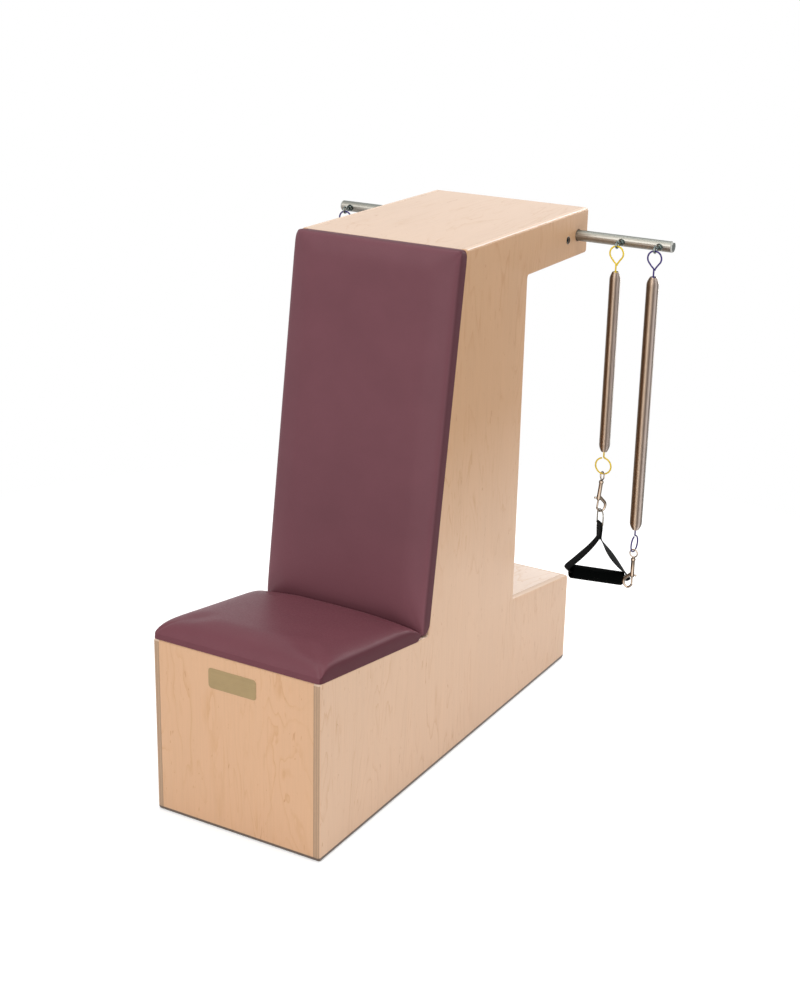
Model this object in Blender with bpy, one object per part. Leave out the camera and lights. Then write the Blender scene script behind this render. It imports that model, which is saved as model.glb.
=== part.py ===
"""Pilates arm chair: a plywood case with a padded seat and back, and a cross bar with hanging springs.

Metres, +Z up, +Y towards the rear, +X to the right seen from the front. The origin lies on the floor
under the middle of the chair. Lengths along Y below are measured from the case's front face.
"""
import math

import bpy
import bmesh
from mathutils import Euler, Matrix, Vector

# Fits
GAP = 0.0003              # clearance between pieces that touch
FACETS = 20               # sides of a round part

# Plywood case
WIDTH = 0.356
DEPTH = 1.010
HEIGHT = 1.012
PLY = 0.0127
SEAT_FRONT_HEIGHT = 0.350
SEAT_TILT = math.radians(8.4)
SEAT_DEPTH = 0.376        # front face to the corner between seat and back
UPRIGHT_DEPTH = 0.738     # front face to the rear of the upright
OVERHANG_HEIGHT = 0.093
EDGE_ROUND = 0.005        # rounding routed along the outer edges
CORNER_RADIUS = 0.007
FOOT_CORNER_RADIUS = 0.010
INNER_CORNER_RADIUS = 0.006
SEAT_CORNER_RADIUS = 0.003   # between seat and back, under the pads

# Upholstery
PAD_BOARD = 0.009
PAD_BOARD_INSET = 0.007
PAD_SIDE_HEIGHT = 0.020
SEAT_CROWN = 0.021
BACK_CROWN = 0.017
PAD_TUCK = 0.0015         # how far the cover draws in where it meets the case
PAD_SHOULDER = 0.005      # how far the rounded shoulder draws in
PAD_CELLS = 12

# Cross bar
BAR_DIAMETER = 0.0222
BAR_WALL = 0.002
BAR_OVERHANG = 0.207      # how far the bar stands out from each side
BAR_FROM_REAR = 0.048
BAR_FROM_TOP = 0.050
CAP_LIP = 0.003
CAP_PLUG = 0.012
SCREW_FROM_BAR = 0.047
SCREW_BELOW_BAR = 0.003
SCREW_DIAMETER = 0.0065
SCREW_LENGTH = 0.036
SCREW_HEAD_DIAMETER = 0.0120
SCREW_HEAD_HEIGHT = 0.005
SCREW_SUNK = 0.0012       # how far the head lies below the panel's face
SOCKET_WIDTH = 0.006
SOCKET_DEPTH = 0.003
MOUTH_DEPTH = 0.003       # wider mouth of the hole that the bar runs through
MOUTH_WIDENING = 0.0015
STRETCHER_HEIGHT = 0.050

# Eyebolts
OUTER_EYE_FROM_END = 0.023
EYE_SPACING = 0.081
EYE_REACH = 0.0316        # bar axis to the middle of the eye
EYE_DIP = math.radians(5.0)      # the bar stands turned so that the eyes point a little down
EYE_RADIUS = 0.0067       # to the middle of the wire
EYE_WIRE = 0.0018         # radius of the eye's wire
SHANK_RADIUS = 0.0025
NUT_WIDTH = 0.0105
NUT_HEIGHT = 0.0048
WASHER_DIAMETER = 0.015
WASHER_HEIGHT = 0.0014

# Springs
WIRE = 0.0017             # radius of the loops' wire
TOP_LOOP_RADIUS = 0.0145
TOP_LOOP_NECK = 0.038     # from the top of the loop to its neck
LOW_LOOP_RADIUS = 0.0172
LOW_LOOP_NECK = 0.0355
STEM = 0.0125             # bare wire between loop and coil
PLUG_DEPTH = 0.011        # length of the cone that holds the loop in the coil's end
COIL_WALL = 0.0026
COIL_END_RADIUS = 0.0061
COIL_TAPER = 0.017
COIL_SEAM = 0.0005        # gap between one curl and the next
CURL_POINTS = 8
END_CURL_SHARE = 4.0      # how much wider the middle curls are than the end ones
INNER_COIL_LENGTH = 0.380
INNER_COIL_RADIUS = 0.0114
INNER_CURLS = 16
OUTER_COIL_LENGTH = 0.5365
OUTER_COIL_RADIUS = 0.0128
OUTER_CURLS = 22

# Bolt snaps
SNAP_EYE_RADIUS = 0.0083
SNAP_WIRE = 0.0015
SNAP_PLAY = 0.0006         # gap between the snap's eye and the loop that it hangs on
SNAP_POST_RADIUS = 0.0022
SNAP_POST_HEAD = 0.0032
BARREL_RADIUS = 0.0046
BARREL_TOP = 0.0153       # below the point where the snap hangs
BARREL_BOTTOM = 0.0580
BOLT_RADIUS = 0.0020
BOLT_TRAVEL = 0.009
KNOB_DEPTH = 0.0530
KNOB_RADIUS = 0.0015
KNOB_REACH = 0.0085
HOOK_WIRE = 0.0023
HOOK_ROOT = 0.0036         # radius of the casting where it leaves the barrel
HOOK_TAPER = 0.45          # share of the hook along which it thins
HOOK_START = 0.0500        # depth at which it leaves the barrel
HOOK_OUT = 0.0092         # middle of the hook's oval, out from the snap's axis
HOOK_DEPTH = 0.0710       # and below the point where the snap hangs
HOOK_HALF_WIDTH = 0.0089
HOOK_HALF_HEIGHT = 0.0116
TIP_DEPTH = 0.0745        # end of the bolt, where the hook's tip meets it
HANDLE_TURN = math.radians(48.0)

# Handles
RING_WIRE = 0.0015
RING_WIDTH = 0.029
RING_HEIGHT = 0.031
RING_CORNER = 0.0035
STRAP_WIDTH = 0.025
NECK_WIDTH = 0.024        # the webbing is drawn a little narrower at the neck
STRAP_THICKNESS = 0.0016
STRAP_NECK = 0.031
STRAP_SAG = 0.005         # how far each leg of the strap curves in
STRAP_REACH = 0.0110      # how far the strap stands out past the grip's end
STRAP_RISE = 0.0085       # height of that point above the grip's axis
GRIP_LENGTH = 0.124
GRIP_RADIUS = 0.015
GRIP_BORE = 0.011
GRIP_EDGE = 0.003
GRIP_TILT = math.radians(14.0)
GRIP_DROP = 0.1178        # ring bar to the middle of the grip

# Name plate, left bare
PLATE_WIDTH = 0.102
PLATE_HEIGHT = 0.039
PLATE_THICKNESS = 0.0008
PLATE_CORNER = 0.005
PLATE_OFFSET = -0.005
PLATE_BELOW_SEAT = 0.048

# Derived places
SLOPE = math.tan(SEAT_TILT)
HALF = WIDTH / 2
MIDDLE_Y = (DEPTH - PLATE_THICKNESS - GAP) / 2
BAR_Y = DEPTH - BAR_FROM_REAR
BAR_Z = HEIGHT - BAR_FROM_TOP
BAR_RADIUS = BAR_DIAMETER / 2
BAR_END = HALF + BAR_OVERHANG
SCREW_Y = BAR_Y - SCREW_FROM_BAR
SCREW_Z = BAR_Z - SCREW_BELOW_BAR
OUTER_X = BAR_END - CAP_LIP - OUTER_EYE_FROM_END
INNER_X = OUTER_X - EYE_SPACING
HOOK_LOW = HOOK_DEPTH + HOOK_HALF_HEIGHT
SNAP_LEAN = math.atan2(HOOK_OUT, HOOK_LOW)
REST_OUT = HOOK_OUT + HOOK_HALF_WIDTH ** 2 * math.sin(SNAP_LEAN) / HOOK_HALF_HEIGHT
ALONG_SEAT = Vector((0, math.cos(SEAT_TILT), -math.sin(SEAT_TILT)))
ALONG_BACK = Vector((0, math.sin(SEAT_TILT), math.cos(SEAT_TILT)))


def clear_scene():
    for item in list(bpy.data.objects):
        bpy.data.objects.remove(item, do_unlink=True)


def material(name, colour, roughness, metallic=0.0):
    made = bpy.data.materials.new(name)
    made.use_nodes = True
    shader = made.node_tree.nodes["Principled BSDF"]
    shader.inputs["Base Color"].default_value = (*colour, 1.0)
    shader.inputs["Roughness"].default_value = roughness
    shader.inputs["Metallic"].default_value = metallic
    return made


def empty(name, parent=None, place=(0, 0, 0), turn=(0, 0, 0)):
    made = bpy.data.objects.new(name, None)
    bpy.context.collection.objects.link(made)
    made.parent = parent
    made.location = place
    made.rotation_euler = turn
    return made


def finish(name, mesh, finish_material, parent, side=1, smooth=True):
    """Makes a named object; side -1 gives the mirror image in the local X."""
    if side < 0:
        mesh.transform(Matrix.Scale(-1, 4, Vector((1, 0, 0))))
        mesh.flip_normals()
    mesh.materials.clear()
    mesh.materials.append(material(name, *finish_material))
    if smooth:
        mesh.shade_smooth()
        mesh.set_sharp_from_angle(angle=math.radians(35))
    made = bpy.data.objects.new(name, mesh)
    bpy.context.collection.objects.link(made)
    made.parent = parent
    return made


def mesh_of(shape):
    """Turns a bmesh into a closed mesh with its faces pointing out."""
    bmesh.ops.recalc_face_normals(shape, faces=shape.faces)
    mesh = bpy.data.meshes.new("shape")
    shape.to_mesh(mesh)
    shape.free()
    return mesh


def combine(base, others, operation):
    """Joins the other meshes to the base one, or cuts them out of it."""
    holder = bpy.data.objects.new("base", base)
    bpy.context.collection.objects.link(holder)
    tools = []
    for other in others:
        tool = bpy.data.objects.new("tool", other)
        bpy.context.collection.objects.link(tool)
        tools.append(tool)
        step = holder.modifiers.new("step", "BOOLEAN")
        step.operation = operation
        step.solver = "EXACT"
        step.object = tool
    graph = bpy.context.evaluated_depsgraph_get()
    result = bpy.data.meshes.new_from_object(holder.evaluated_get(graph))
    for item in [holder] + tools:
        bpy.data.objects.remove(item, do_unlink=True)
    return result


def loft(rings, closed=False):
    """Skins rings that hold the same number of points; a closed loft joins the last to the first."""
    shape = bmesh.new()
    rows = [[shape.verts.new(point) for point in ring] for ring in rings]
    count = len(rows[0])
    pairs = list(zip(rows, rows[1:]))
    if closed:
        pairs.append((rows[-1], rows[0]))
    for near, far in pairs:
        for i in range(count):
            j = (i + 1) % count
            shape.faces.new((near[i], near[j], far[j], far[i]))
    if not closed:
        shape.faces.new(rows[0][::-1])
        shape.faces.new(rows[-1])
    return mesh_of(shape)


def ring(centre, radius, across, up, sides, start=0.0):
    """Points of a circle in the plane of two directions."""
    angles = [start + 2 * math.pi * i / sides for i in range(sides)]
    return [centre + radius * (math.cos(a) * across + math.sin(a) * up) for a in angles]


def turned(profile, axis="Z", sides=FACETS, start=0.0):
    """Revolves an open or closed profile of (radius, height); zero radii close the ends."""
    across, up, along = {
        "X": (Vector((0, 1, 0)), Vector((0, 0, 1)), Vector((1, 0, 0))),
        "Y": (Vector((0, 0, 1)), Vector((1, 0, 0)), Vector((0, 1, 0))),
        "Z": (Vector((1, 0, 0)), Vector((0, 1, 0)), Vector((0, 0, 1))),
    }[axis]
    rings = [ring(along * height, radius, across, up, sides, start) for radius, height in profile]
    return loft(rings)


def tube(profile, axis="Z", sides=FACETS):
    """Revolves a closed outline of (radius, height) that stays off the axis."""
    across, up, along = {
        "X": (Vector((0, 1, 0)), Vector((0, 0, 1)), Vector((1, 0, 0))),
        "Y": (Vector((0, 0, 1)), Vector((1, 0, 0)), Vector((0, 1, 0))),
        "Z": (Vector((1, 0, 0)), Vector((0, 1, 0)), Vector((0, 0, 1))),
    }[axis]
    rings = []
    for i in range(sides):
        angle = 2 * math.pi * i / sides
        out = math.cos(angle) * across + math.sin(angle) * up
        rings.append([radius * out + height * along for radius, height in profile])
    return loft(rings, closed=True)


def moved(mesh, place=(0, 0, 0), turn=(0, 0, 0)):
    mesh.transform(Matrix.Translation(place) @ Euler(turn).to_matrix().to_4x4())
    return mesh


def rod(radius, start, end, axis, sides=FACETS, start_angle=0.0):
    return turned([(radius, start), (radius, end)], axis, sides, start_angle)


def box(low, high):
    shape = bmesh.new()
    bmesh.ops.create_cube(shape, size=1.0)
    low, high = Vector(low), Vector(high)
    for vert in shape.verts:
        vert.co = (low + high) / 2 + vert.co * (high - low)
    return mesh_of(shape)


def wire(path, radius, sides, across, closed=False):
    """Sweeps a round wire along points that lie in one plane; across is the plane's normal.

    The radius is one value, or a function of the share of the points gone by.
    """
    rings = []
    last = len(path) - 1
    for i, point in enumerate(path):
        before = path[i - 1] if closed or i else path[0]
        after = path[(i + 1) % len(path)] if closed or i < last else path[last]
        ahead = (after - before).normalized()
        size = radius(i / last) if callable(radius) else radius
        rings.append(ring(point, size, across, ahead.cross(across), sides))
    return loft(rings, closed)


def outline(corners, radii, inset=0.0, steps=3):
    """A polygon with rounded corners, drawn in by inset all round. Corners run anticlockwise."""
    points = []
    for i, corner in enumerate(corners):
        corner = Vector(corner)
        if radii[i] == 0:
            points.append(corner)
            continue
        back = (Vector(corners[i - 1]) - corner).normalized()
        ahead = (Vector(corners[(i + 1) % len(corners)]) - corner).normalized()
        half = math.acos(max(-1.0, min(1.0, back.dot(ahead)))) / 2
        convex = back.x * ahead.y - back.y * ahead.x < 0
        centre = corner + (back + ahead).normalized() * (radii[i] / math.sin(half))
        reach = radii[i] / math.tan(half)
        first = corner + back * reach - centre
        sweep = (math.pi - 2 * half) * (1 if convex else -1)
        radius = radii[i] - inset if convex else radii[i] + inset
        for k in range(steps + 1):
            angle = sweep * k / steps
            spoke = Vector((first.x * math.cos(angle) - first.y * math.sin(angle),
                            first.x * math.sin(angle) + first.y * math.cos(angle)))
            points.append(centre + spoke.normalized() * radius)
    return points


def slab(points, start, end):
    """Extrudes an outline of (y, z) points along X."""
    rings = [[Vector((x, y, z)) for y, z in points] for x in (start, end)]
    return loft(rings)


def seat_line(y):
    """Height of the sloping line that the seat's edge and the foot's top share."""
    return SEAT_FRONT_HEIGHT - SLOPE * y


def back_line(z):
    """Distance of the slanted back from the front face at a height."""
    return SEAT_DEPTH + SLOPE * (z - seat_line(SEAT_DEPTH))


PLYWOOD = ((0.55, 0.39, 0.25), 0.5)
VINYL = ((0.20, 0.075, 0.09), 0.45)
RAW_BOARD = ((0.45, 0.33, 0.20), 0.7)
SATIN_STEEL = ((0.45, 0.43, 0.40), 0.35, 1.0)
ZINC = ((0.70, 0.72, 0.72), 0.25, 1.0)
NICKEL = ((0.60, 0.52, 0.45), 0.25, 1.0)
COIL_STEEL = ((0.33, 0.26, 0.21), 0.4, 1.0)
YELLOW = ((0.72, 0.43, 0.03), 0.4)
PURPLE = ((0.05, 0.03, 0.18), 0.4)
DARK_STEEL = ((0.05, 0.05, 0.05), 0.4, 1.0)
GREY_PLASTIC = ((0.15, 0.15, 0.15), 0.5)
BRASS = ((0.50, 0.38, 0.18), 0.35, 1.0)
BLACK_WEBBING = ((0.012, 0.012, 0.012), 0.8)
BLACK_FOAM = ((0.010, 0.010, 0.010), 0.9)


def case_corners():
    """Corners of the side panel's outline and the radius at each, anticlockwise seen from the right."""
    low = HEIGHT - OVERHANG_HEIGHT
    corners = [
        (0, 0), (DEPTH, 0), (DEPTH, seat_line(DEPTH)), (UPRIGHT_DEPTH, seat_line(UPRIGHT_DEPTH)),
        (UPRIGHT_DEPTH, low), (DEPTH, low), (DEPTH, HEIGHT), (back_line(HEIGHT), HEIGHT),
        (SEAT_DEPTH, seat_line(SEAT_DEPTH)), (0, SEAT_FRONT_HEIGHT),
    ]
    radii = [CORNER_RADIUS] * len(corners)
    radii[2] = FOOT_CORNER_RADIUS
    radii[3] = INNER_CORNER_RADIUS
    radii[4] = INNER_CORNER_RADIUS
    radii[8] = SEAT_CORNER_RADIUS
    return corners, radii


def stepped_hole(radius, wide, step, y, z, sides=FACETS):
    """Cutter for a hole through a side panel along X, wider from step outwards."""
    profile = [(radius, HALF - 2 * PLY), (radius, step), (wide, step), (wide, HALF + PLY)]
    return moved(turned(profile, "X", sides), (0, y, z))


def side_panel(name, side, parent):
    corners, radii = case_corners()
    inner_face = HALF - PLY
    rings = [[Vector((inner_face, y, z)) for y, z in outline(corners, radii)]]
    steps = 2
    for k in range(steps + 1):
        angle = math.pi / 2 * k / steps
        inset = EDGE_ROUND * (1 - math.cos(angle))
        x = HALF - EDGE_ROUND * (1 - math.sin(angle))
        rings.append([Vector((x, y, z)) for y, z in outline(corners, radii, inset)])
    bar_hole = stepped_hole(BAR_RADIUS + GAP, BAR_RADIUS + MOUTH_WIDENING, HALF - MOUTH_DEPTH, BAR_Y, BAR_Z)
    seat = HALF - SCREW_SUNK - SCREW_HEAD_HEIGHT - GAP
    screw_hole = stepped_hole(SCREW_DIAMETER / 2 + GAP, SCREW_HEAD_DIAMETER / 2 + GAP, seat,
                              SCREW_Y, SCREW_Z, 16)
    panel = combine(loft(rings), [bar_hole, screw_hole], "DIFFERENCE")
    finish(name, panel, PLYWOOD, parent, side)


def board(name, corners, radii, parent):
    """An inner board: its outline in Y and Z, between the two side panels."""
    reach = HALF - PLY - GAP
    finish(name, slab(outline(corners, radii), -reach, reach), PLYWOOD, parent)


def case(parent):
    for name, side in (("side_panel_right", 1), ("side_panel_left", -1)):
        side_panel(name, side, parent)
    rounded = CORNER_RADIUS
    rear = DEPTH - PLY
    under_top = HEIGHT - PLY
    low = HEIGHT - OVERHANG_HEIGHT
    upright = UPRIGHT_DEPTH - PLY
    along = Vector((ALONG_SEAT.y, ALONG_SEAT.z))
    out = Vector((ALONG_BACK.y, ALONG_BACK.z))
    corner = Vector((SEAT_DEPTH, seat_line(SEAT_DEPTH)))

    board("front_panel", [(0, 0), (PLY, 0), (PLY, seat_line(PLY)), (0, SEAT_FRONT_HEIGHT)],
          [rounded, 0, 0, rounded], parent)
    drop = PLY / math.cos(SEAT_TILT)
    start = PLY + GAP
    deck_end = corner + along * PLY
    board("seat_deck", [(start, seat_line(start) - drop), deck_end - out * PLY, deck_end,
                        (start, seat_line(start))], [0] * 4, parent)
    foot = corner + out * GAP
    top = under_top - GAP
    board("back_deck", [foot, foot + along * PLY, (back_line(top) + drop, top),
                        (back_line(top), top)], [0] * 4, parent)
    board("top_panel", [(back_line(under_top), under_top), (DEPTH, under_top), (DEPTH, HEIGHT),
                        (back_line(HEIGHT), HEIGHT)], [0, 0, rounded, rounded], parent)
    board("overhang_rear_panel", [(rear, low), (DEPTH, low), (DEPTH, under_top - GAP),
                                  (rear, under_top - GAP)], [0, rounded, 0, 0], parent)
    board("overhang_bottom_panel", [(upright, low), (rear - GAP, low), (rear - GAP, low + PLY),
                                    (upright, low + PLY)], [0] * 4, parent)
    board("upright_rear_panel", [(upright, seat_line(upright) + GAP),
                                 (UPRIGHT_DEPTH, seat_line(UPRIGHT_DEPTH) + GAP),
                                 (UPRIGHT_DEPTH, low - GAP), (upright, low - GAP)],
          [0] * 4, parent)
    board("foot_top_panel", [(upright, seat_line(upright) - drop),
                             (rear - GAP, seat_line(rear - GAP) - drop),
                             (rear - GAP, seat_line(rear - GAP)), (upright, seat_line(upright))],
          [0] * 4, parent)
    board("foot_rear_panel", [(rear, 0), (DEPTH, 0), (DEPTH, seat_line(DEPTH)),
                              (rear, seat_line(rear))], [0, rounded, FOOT_CORNER_RADIUS, 0], parent)
    reach = HALF - PLY - GAP
    half = STRETCHER_HEIGHT / 2
    stretcher = box((-reach, SCREW_Y - PLY / 2, SCREW_Z - half), (reach, SCREW_Y + PLY / 2, SCREW_Z + half))
    depth = SCREW_SUNK + SCREW_LENGTH + SCREW_HEAD_HEIGHT
    holes = []
    for side in (1, -1):
        start, end = sorted((side * (HALF - depth - GAP), side * HALF))
        holes.append(moved(rod(SCREW_DIAMETER / 2 + GAP, start, end, "X", 12), (0, SCREW_Y, SCREW_Z)))
    finish("bar_stretcher", combine(stretcher, holes, "DIFFERENCE"), RAW_BOARD, parent)


def square_off(a, b, power=24.0):
    """How far a point of the square is drawn in, so that the pad's corners come out rounded."""
    widest = max(abs(a), abs(b))
    if widest == 0:
        return 1.0
    return widest * (abs(a) ** power + abs(b) ** power) ** (-1 / power)


def cushion(width, length, crown):
    """A crowned pad: X across, Y along, Z out, its underside at zero, hollowed below for its board."""
    def spot(a, b, inset, height):
        pull = square_off(a, b)
        return Vector((a * pull * (width / 2 - inset), b * pull * (length / 2 - inset), height))

    def station(i):
        return math.sin(math.pi / 2 * (2 * i / PAD_CELLS - 1))

    shape = bmesh.new()
    top = {}
    for i in range(PAD_CELLS + 1):
        for j in range(PAD_CELLS + 1):
            a, b = station(i), station(j)
            swell = (1 - abs(a) ** 2.6) * (1 - abs(b) ** 4)
            top[i, j] = shape.verts.new(spot(a, b, PAD_SHOULDER, PAD_SIDE_HEIGHT + crown * swell))
    for i in range(PAD_CELLS):
        for j in range(PAD_CELLS):
            shape.faces.new((top[i, j], top[i + 1, j], top[i + 1, j + 1], top[i, j + 1]))
    edge = [(i, 0) for i in range(PAD_CELLS)] + [(PAD_CELLS, j) for j in range(PAD_CELLS)]
    edge += [(PAD_CELLS - i, PAD_CELLS) for i in range(PAD_CELLS)]
    edge += [(0, PAD_CELLS - j) for j in range(PAD_CELLS)]
    upper = [top[key] for key in edge]
    levels = [(PAD_SHOULDER * 0.3, PAD_SIDE_HEIGHT * 0.8), (0.0, PAD_SIDE_HEIGHT * 0.4), (PAD_TUCK, 0.0)]
    for inset, height in levels:
        lower = [shape.verts.new(spot(station(i), station(j), inset, height)) for i, j in edge]
        for k in range(len(edge)):
            n = (k + 1) % len(edge)
            shape.faces.new((upper[k], lower[k], lower[n], upper[n]))
        upper = lower
    shape.faces.new(upper)
    reach_x = width / 2 - PAD_BOARD_INSET + GAP
    reach_y = length / 2 - PAD_BOARD_INSET + GAP
    pocket = box((-reach_x, -reach_y, -PAD_BOARD), (reach_x, reach_y, PAD_BOARD + GAP))
    return combine(mesh_of(shape), [pocket], "DIFFERENCE")


def upholstery(parent):
    """Seat and back pads, each a foam cushion in a cover over its own plywood board."""
    corner = Vector((0, SEAT_DEPTH, seat_line(SEAT_DEPTH)))
    back_length = (HEIGHT - corner.z) / math.cos(SEAT_TILT) - PAD_SIDE_HEIGHT * SLOPE - 2 * GAP
    back_face = PAD_SIDE_HEIGHT + 0.0035
    seat_length = SEAT_DEPTH / math.cos(SEAT_TILT) - back_face - GAP
    board_height = PAD_BOARD
    seat_centre = corner - ALONG_SEAT * (back_face + seat_length / 2) + ALONG_BACK * GAP
    back_centre = corner + ALONG_BACK * (back_length / 2 + GAP) - ALONG_SEAT * GAP
    seat = empty("seat_pad", parent, seat_centre, (-SEAT_TILT, 0, 0))
    back = empty("back_pad", parent, back_centre, (math.pi / 2 - SEAT_TILT, 0, 0))
    for name, holder, length, crown in (("seat", seat, seat_length, SEAT_CROWN),
                                        ("back", back, back_length, BACK_CROWN)):
        finish(name + "_cushion", cushion(WIDTH, length, crown), VINYL, holder)
        reach_x = WIDTH / 2 - PAD_BOARD_INSET
        reach_y = length / 2 - PAD_BOARD_INSET
        finish(name + "_board", box((-reach_x, -reach_y, 0), (reach_x, reach_y, board_height)),
               RAW_BOARD, holder, smooth=False)


def cross_bar(parent):
    inner = BAR_RADIUS - BAR_WALL
    end = BAR_END - CAP_LIP - GAP
    shell = tube([(inner, -end), (BAR_RADIUS, -end), (BAR_RADIUS, end), (inner, end)], "X")
    holes = []
    for x in (-OUTER_X, -INNER_X, INNER_X, OUTER_X):
        holes.append(moved(rod(SHANK_RADIUS + GAP, -BAR_DIAMETER, BAR_DIAMETER, "Y", 10), (x, 0, 0)))
    holder = empty("bar_axis", parent, (0, BAR_Y, BAR_Z), (EYE_DIP, 0, 0))
    finish("spring_bar", combine(shell, holes, "DIFFERENCE"), SATIN_STEEL, holder)
    plug = inner - GAP
    start = BAR_END - CAP_LIP
    for name, side in (("bar_end_cap_right", 1), ("bar_end_cap_left", -1)):
        profile = [(plug, start - CAP_PLUG), (plug, start), (BAR_RADIUS, start),
                   (BAR_RADIUS, BAR_END - CAP_LIP / 2), (BAR_RADIUS - CAP_LIP / 2, BAR_END)]
        finish(name, turned(profile, "X"), GREY_PLASTIC, holder, side)


def stretcher_screws(parent):
    """Socket screws that hold the side panels to the stretcher beside the bar."""
    head = SCREW_HEAD_DIAMETER / 2
    thread = SCREW_DIAMETER / 2
    for name, side in (("stretcher_screw_right", 1), ("stretcher_screw_left", -1)):
        face = HALF - SCREW_SUNK
        seat = face - SCREW_HEAD_HEIGHT
        profile = [(thread, seat - SCREW_LENGTH + GAP), (thread, seat), (head, seat),
                   (head, face - 0.0006), (head - 0.0006, face)]
        socket = rod(SOCKET_WIDTH / math.sqrt(3), face - SOCKET_DEPTH, face + SOCKET_DEPTH, "X", 6)
        screw = combine(turned(profile, "X", 12), [socket], "DIFFERENCE")
        holder = empty(name + "_axis", parent, (0, SCREW_Y, SCREW_Z))
        finish(name, screw, DARK_STEEL, holder, side)


def name_plate(parent):
    half_x, half_z = PLATE_WIDTH / 2, PLATE_HEIGHT / 2
    corners = [(-half_x, -half_z), (half_x, -half_z), (half_x, half_z), (-half_x, half_z)]
    points = outline(corners, [PLATE_CORNER] * 4)
    rings = [[Vector((x, y, z)) for x, z in points] for y in (-PLATE_THICKNESS - GAP, -GAP)]
    holder = empty("plate_middle", parent, (PLATE_OFFSET, 0, SEAT_FRONT_HEIGHT - PLATE_BELOW_SEAT))
    finish("name_plate", loft(rings), BRASS, holder)


def eyebolt(name, side, x, parent):
    """An eye in the plane of Y and Z, its shank through the bar, with its front nut and washer on it."""
    holder = empty(name + "_axis", parent, (side * x, BAR_Y, BAR_Z), (EYE_DIP, 0, 0))
    path = ring(Vector((0, -EYE_REACH, 0)), EYE_RADIUS, Vector((0, 0, 1)), Vector((0, 1, 0)), 16, 0.1)
    eye = wire(path, EYE_WIRE, 6, Vector((1, 0, 0)), closed=True)
    tail = BAR_RADIUS + 2 * GAP + NUT_HEIGHT + 0.003
    shank = rod(SHANK_RADIUS, EYE_RADIUS - EYE_REACH, tail, "Y", 10)
    face = -BAR_RADIUS - GAP
    nut = rod(NUT_WIDTH / math.sqrt(3), face - WASHER_HEIGHT - NUT_HEIGHT, face - WASHER_HEIGHT / 2,
              "Y", 6, math.radians(20))
    washer = rod(WASHER_DIAMETER / 2, face - WASHER_HEIGHT, face, "Y", 16)
    finish(name, combine(eye, [shank, nut, washer], "UNION"), ZINC, holder, side)
    hole = SHANK_RADIUS + GAP
    start = BAR_RADIUS + GAP
    body = rod(NUT_WIDTH / math.sqrt(3), start, start + NUT_HEIGHT, "Y", 6, math.radians(20))
    bore = rod(hole, 0, start + 2 * NUT_HEIGHT, "Y", 10)
    finish(name + "_nut", combine(body, [bore], "DIFFERENCE"), ZINC, holder, side)


def coil_radius(radius, depth):
    """Outer radius of a coil at a depth below either of its ends."""
    share = min(1.0, depth / COIL_TAPER)
    return COIL_END_RADIUS + (radius - COIL_END_RADIUS) * math.sin(math.pi / 2 * share)


def coil(length, radius, curls):
    """A wound band from zero down to -length; each curl lies one seam away from the next."""
    turns = curls + 1

    def height(turn):
        share = turn + END_CURL_SHARE * (turn / 2 - turns * math.sin(2 * math.pi * turn / turns)
                                         / (4 * math.pi))
        return length * share / (turns * (1 + END_CURL_SHARE / 2))

    rings = []
    for i in range(curls * CURL_POINTS + 1):
        turn = i / CURL_POINTS
        angle = 2 * math.pi * turn
        out = Vector((math.cos(angle), math.sin(angle), 0))
        upper = height(turn) + COIL_SEAM / 2
        lower = height(turn + 1) - COIL_SEAM / 2
        corners = []
        for depth, wall in ((upper, 0), (lower, 0), (lower, COIL_WALL), (upper, COIL_WALL)):
            rim = coil_radius(radius, min(depth, length - depth))
            corners.append(out * (rim - wall) + Vector((0, 0, -depth)))
        rings.append(corners)
    seam = min((rings[i + CURL_POINTS][0] - rings[i][1]).length
               for i in range(len(rings) - CURL_POINTS))
    print("least gap between two curls: %.2f mm" % (seam * 1000))
    return loft(rings)


def loop(radius, neck, coil_size):
    """A wire loop in the plane of X and Z: its top at zero, its neck below, its plug in the coil."""
    centre = -radius
    reach = neck - radius
    open_angle = math.acos(radius / reach)
    steps = 13
    start = -math.pi / 2 + open_angle
    sweep = 2 * math.pi - 2 * open_angle
    arc = []
    for k in range(steps + 1):
        angle = start + sweep * k / steps
        arc.append(Vector((radius * math.cos(angle), 0, centre + radius * math.sin(angle))))
    bottom = Vector((0, 0, -neck))
    free = arc[0] + (bottom - arc[0]) * 0.8
    into = bottom + (arc[-1] - bottom) * 0.12
    end = Vector((0, 0, -neck - STEM - PLUG_DEPTH))
    path = [free] + arc + [into, bottom + Vector((0, 0, -0.003)), end]
    strand = wire(path, WIRE, 6, Vector((0, 1, 0)))
    top = neck + STEM
    cone = []
    for depth in (0.002, PLUG_DEPTH):
        inside = (coil_radius(coil_size, depth) - COIL_WALL) * math.cos(math.pi / CURL_POINTS)
        cone.append((inside - 2 * GAP, -top - depth))
    return combine(strand, [turned(cone, "Z", 12)], "UNION")


def snap_eye(across_hook):
    """Swivel eye with its post; its plane is the hook's plane, or square to it."""
    low = SNAP_EYE_RADIUS - SNAP_WIRE - WIRE - SNAP_PLAY
    middle = Vector((0, 0, -low))
    flat, normal = (Vector((0, 1, 0)), Vector((1, 0, 0)))
    if not across_hook:
        flat, normal = normal, flat
    eye = wire(ring(middle, SNAP_EYE_RADIUS, Vector((0, 0, 1)), flat, 16, 0.1), SNAP_WIRE, 6, normal,
               closed=True)
    top = low + SNAP_EYE_RADIUS
    collar = BARREL_TOP + 0.0045
    post = turned([(SNAP_POST_RADIUS, -collar - 0.0025), (SNAP_POST_RADIUS, -top)], "Z", 12)
    head = turned([(SNAP_POST_HEAD, -collar - 0.003), (SNAP_POST_HEAD, -collar - GAP)], "Z", 12)
    return combine(eye, [post, head], "UNION")


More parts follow.
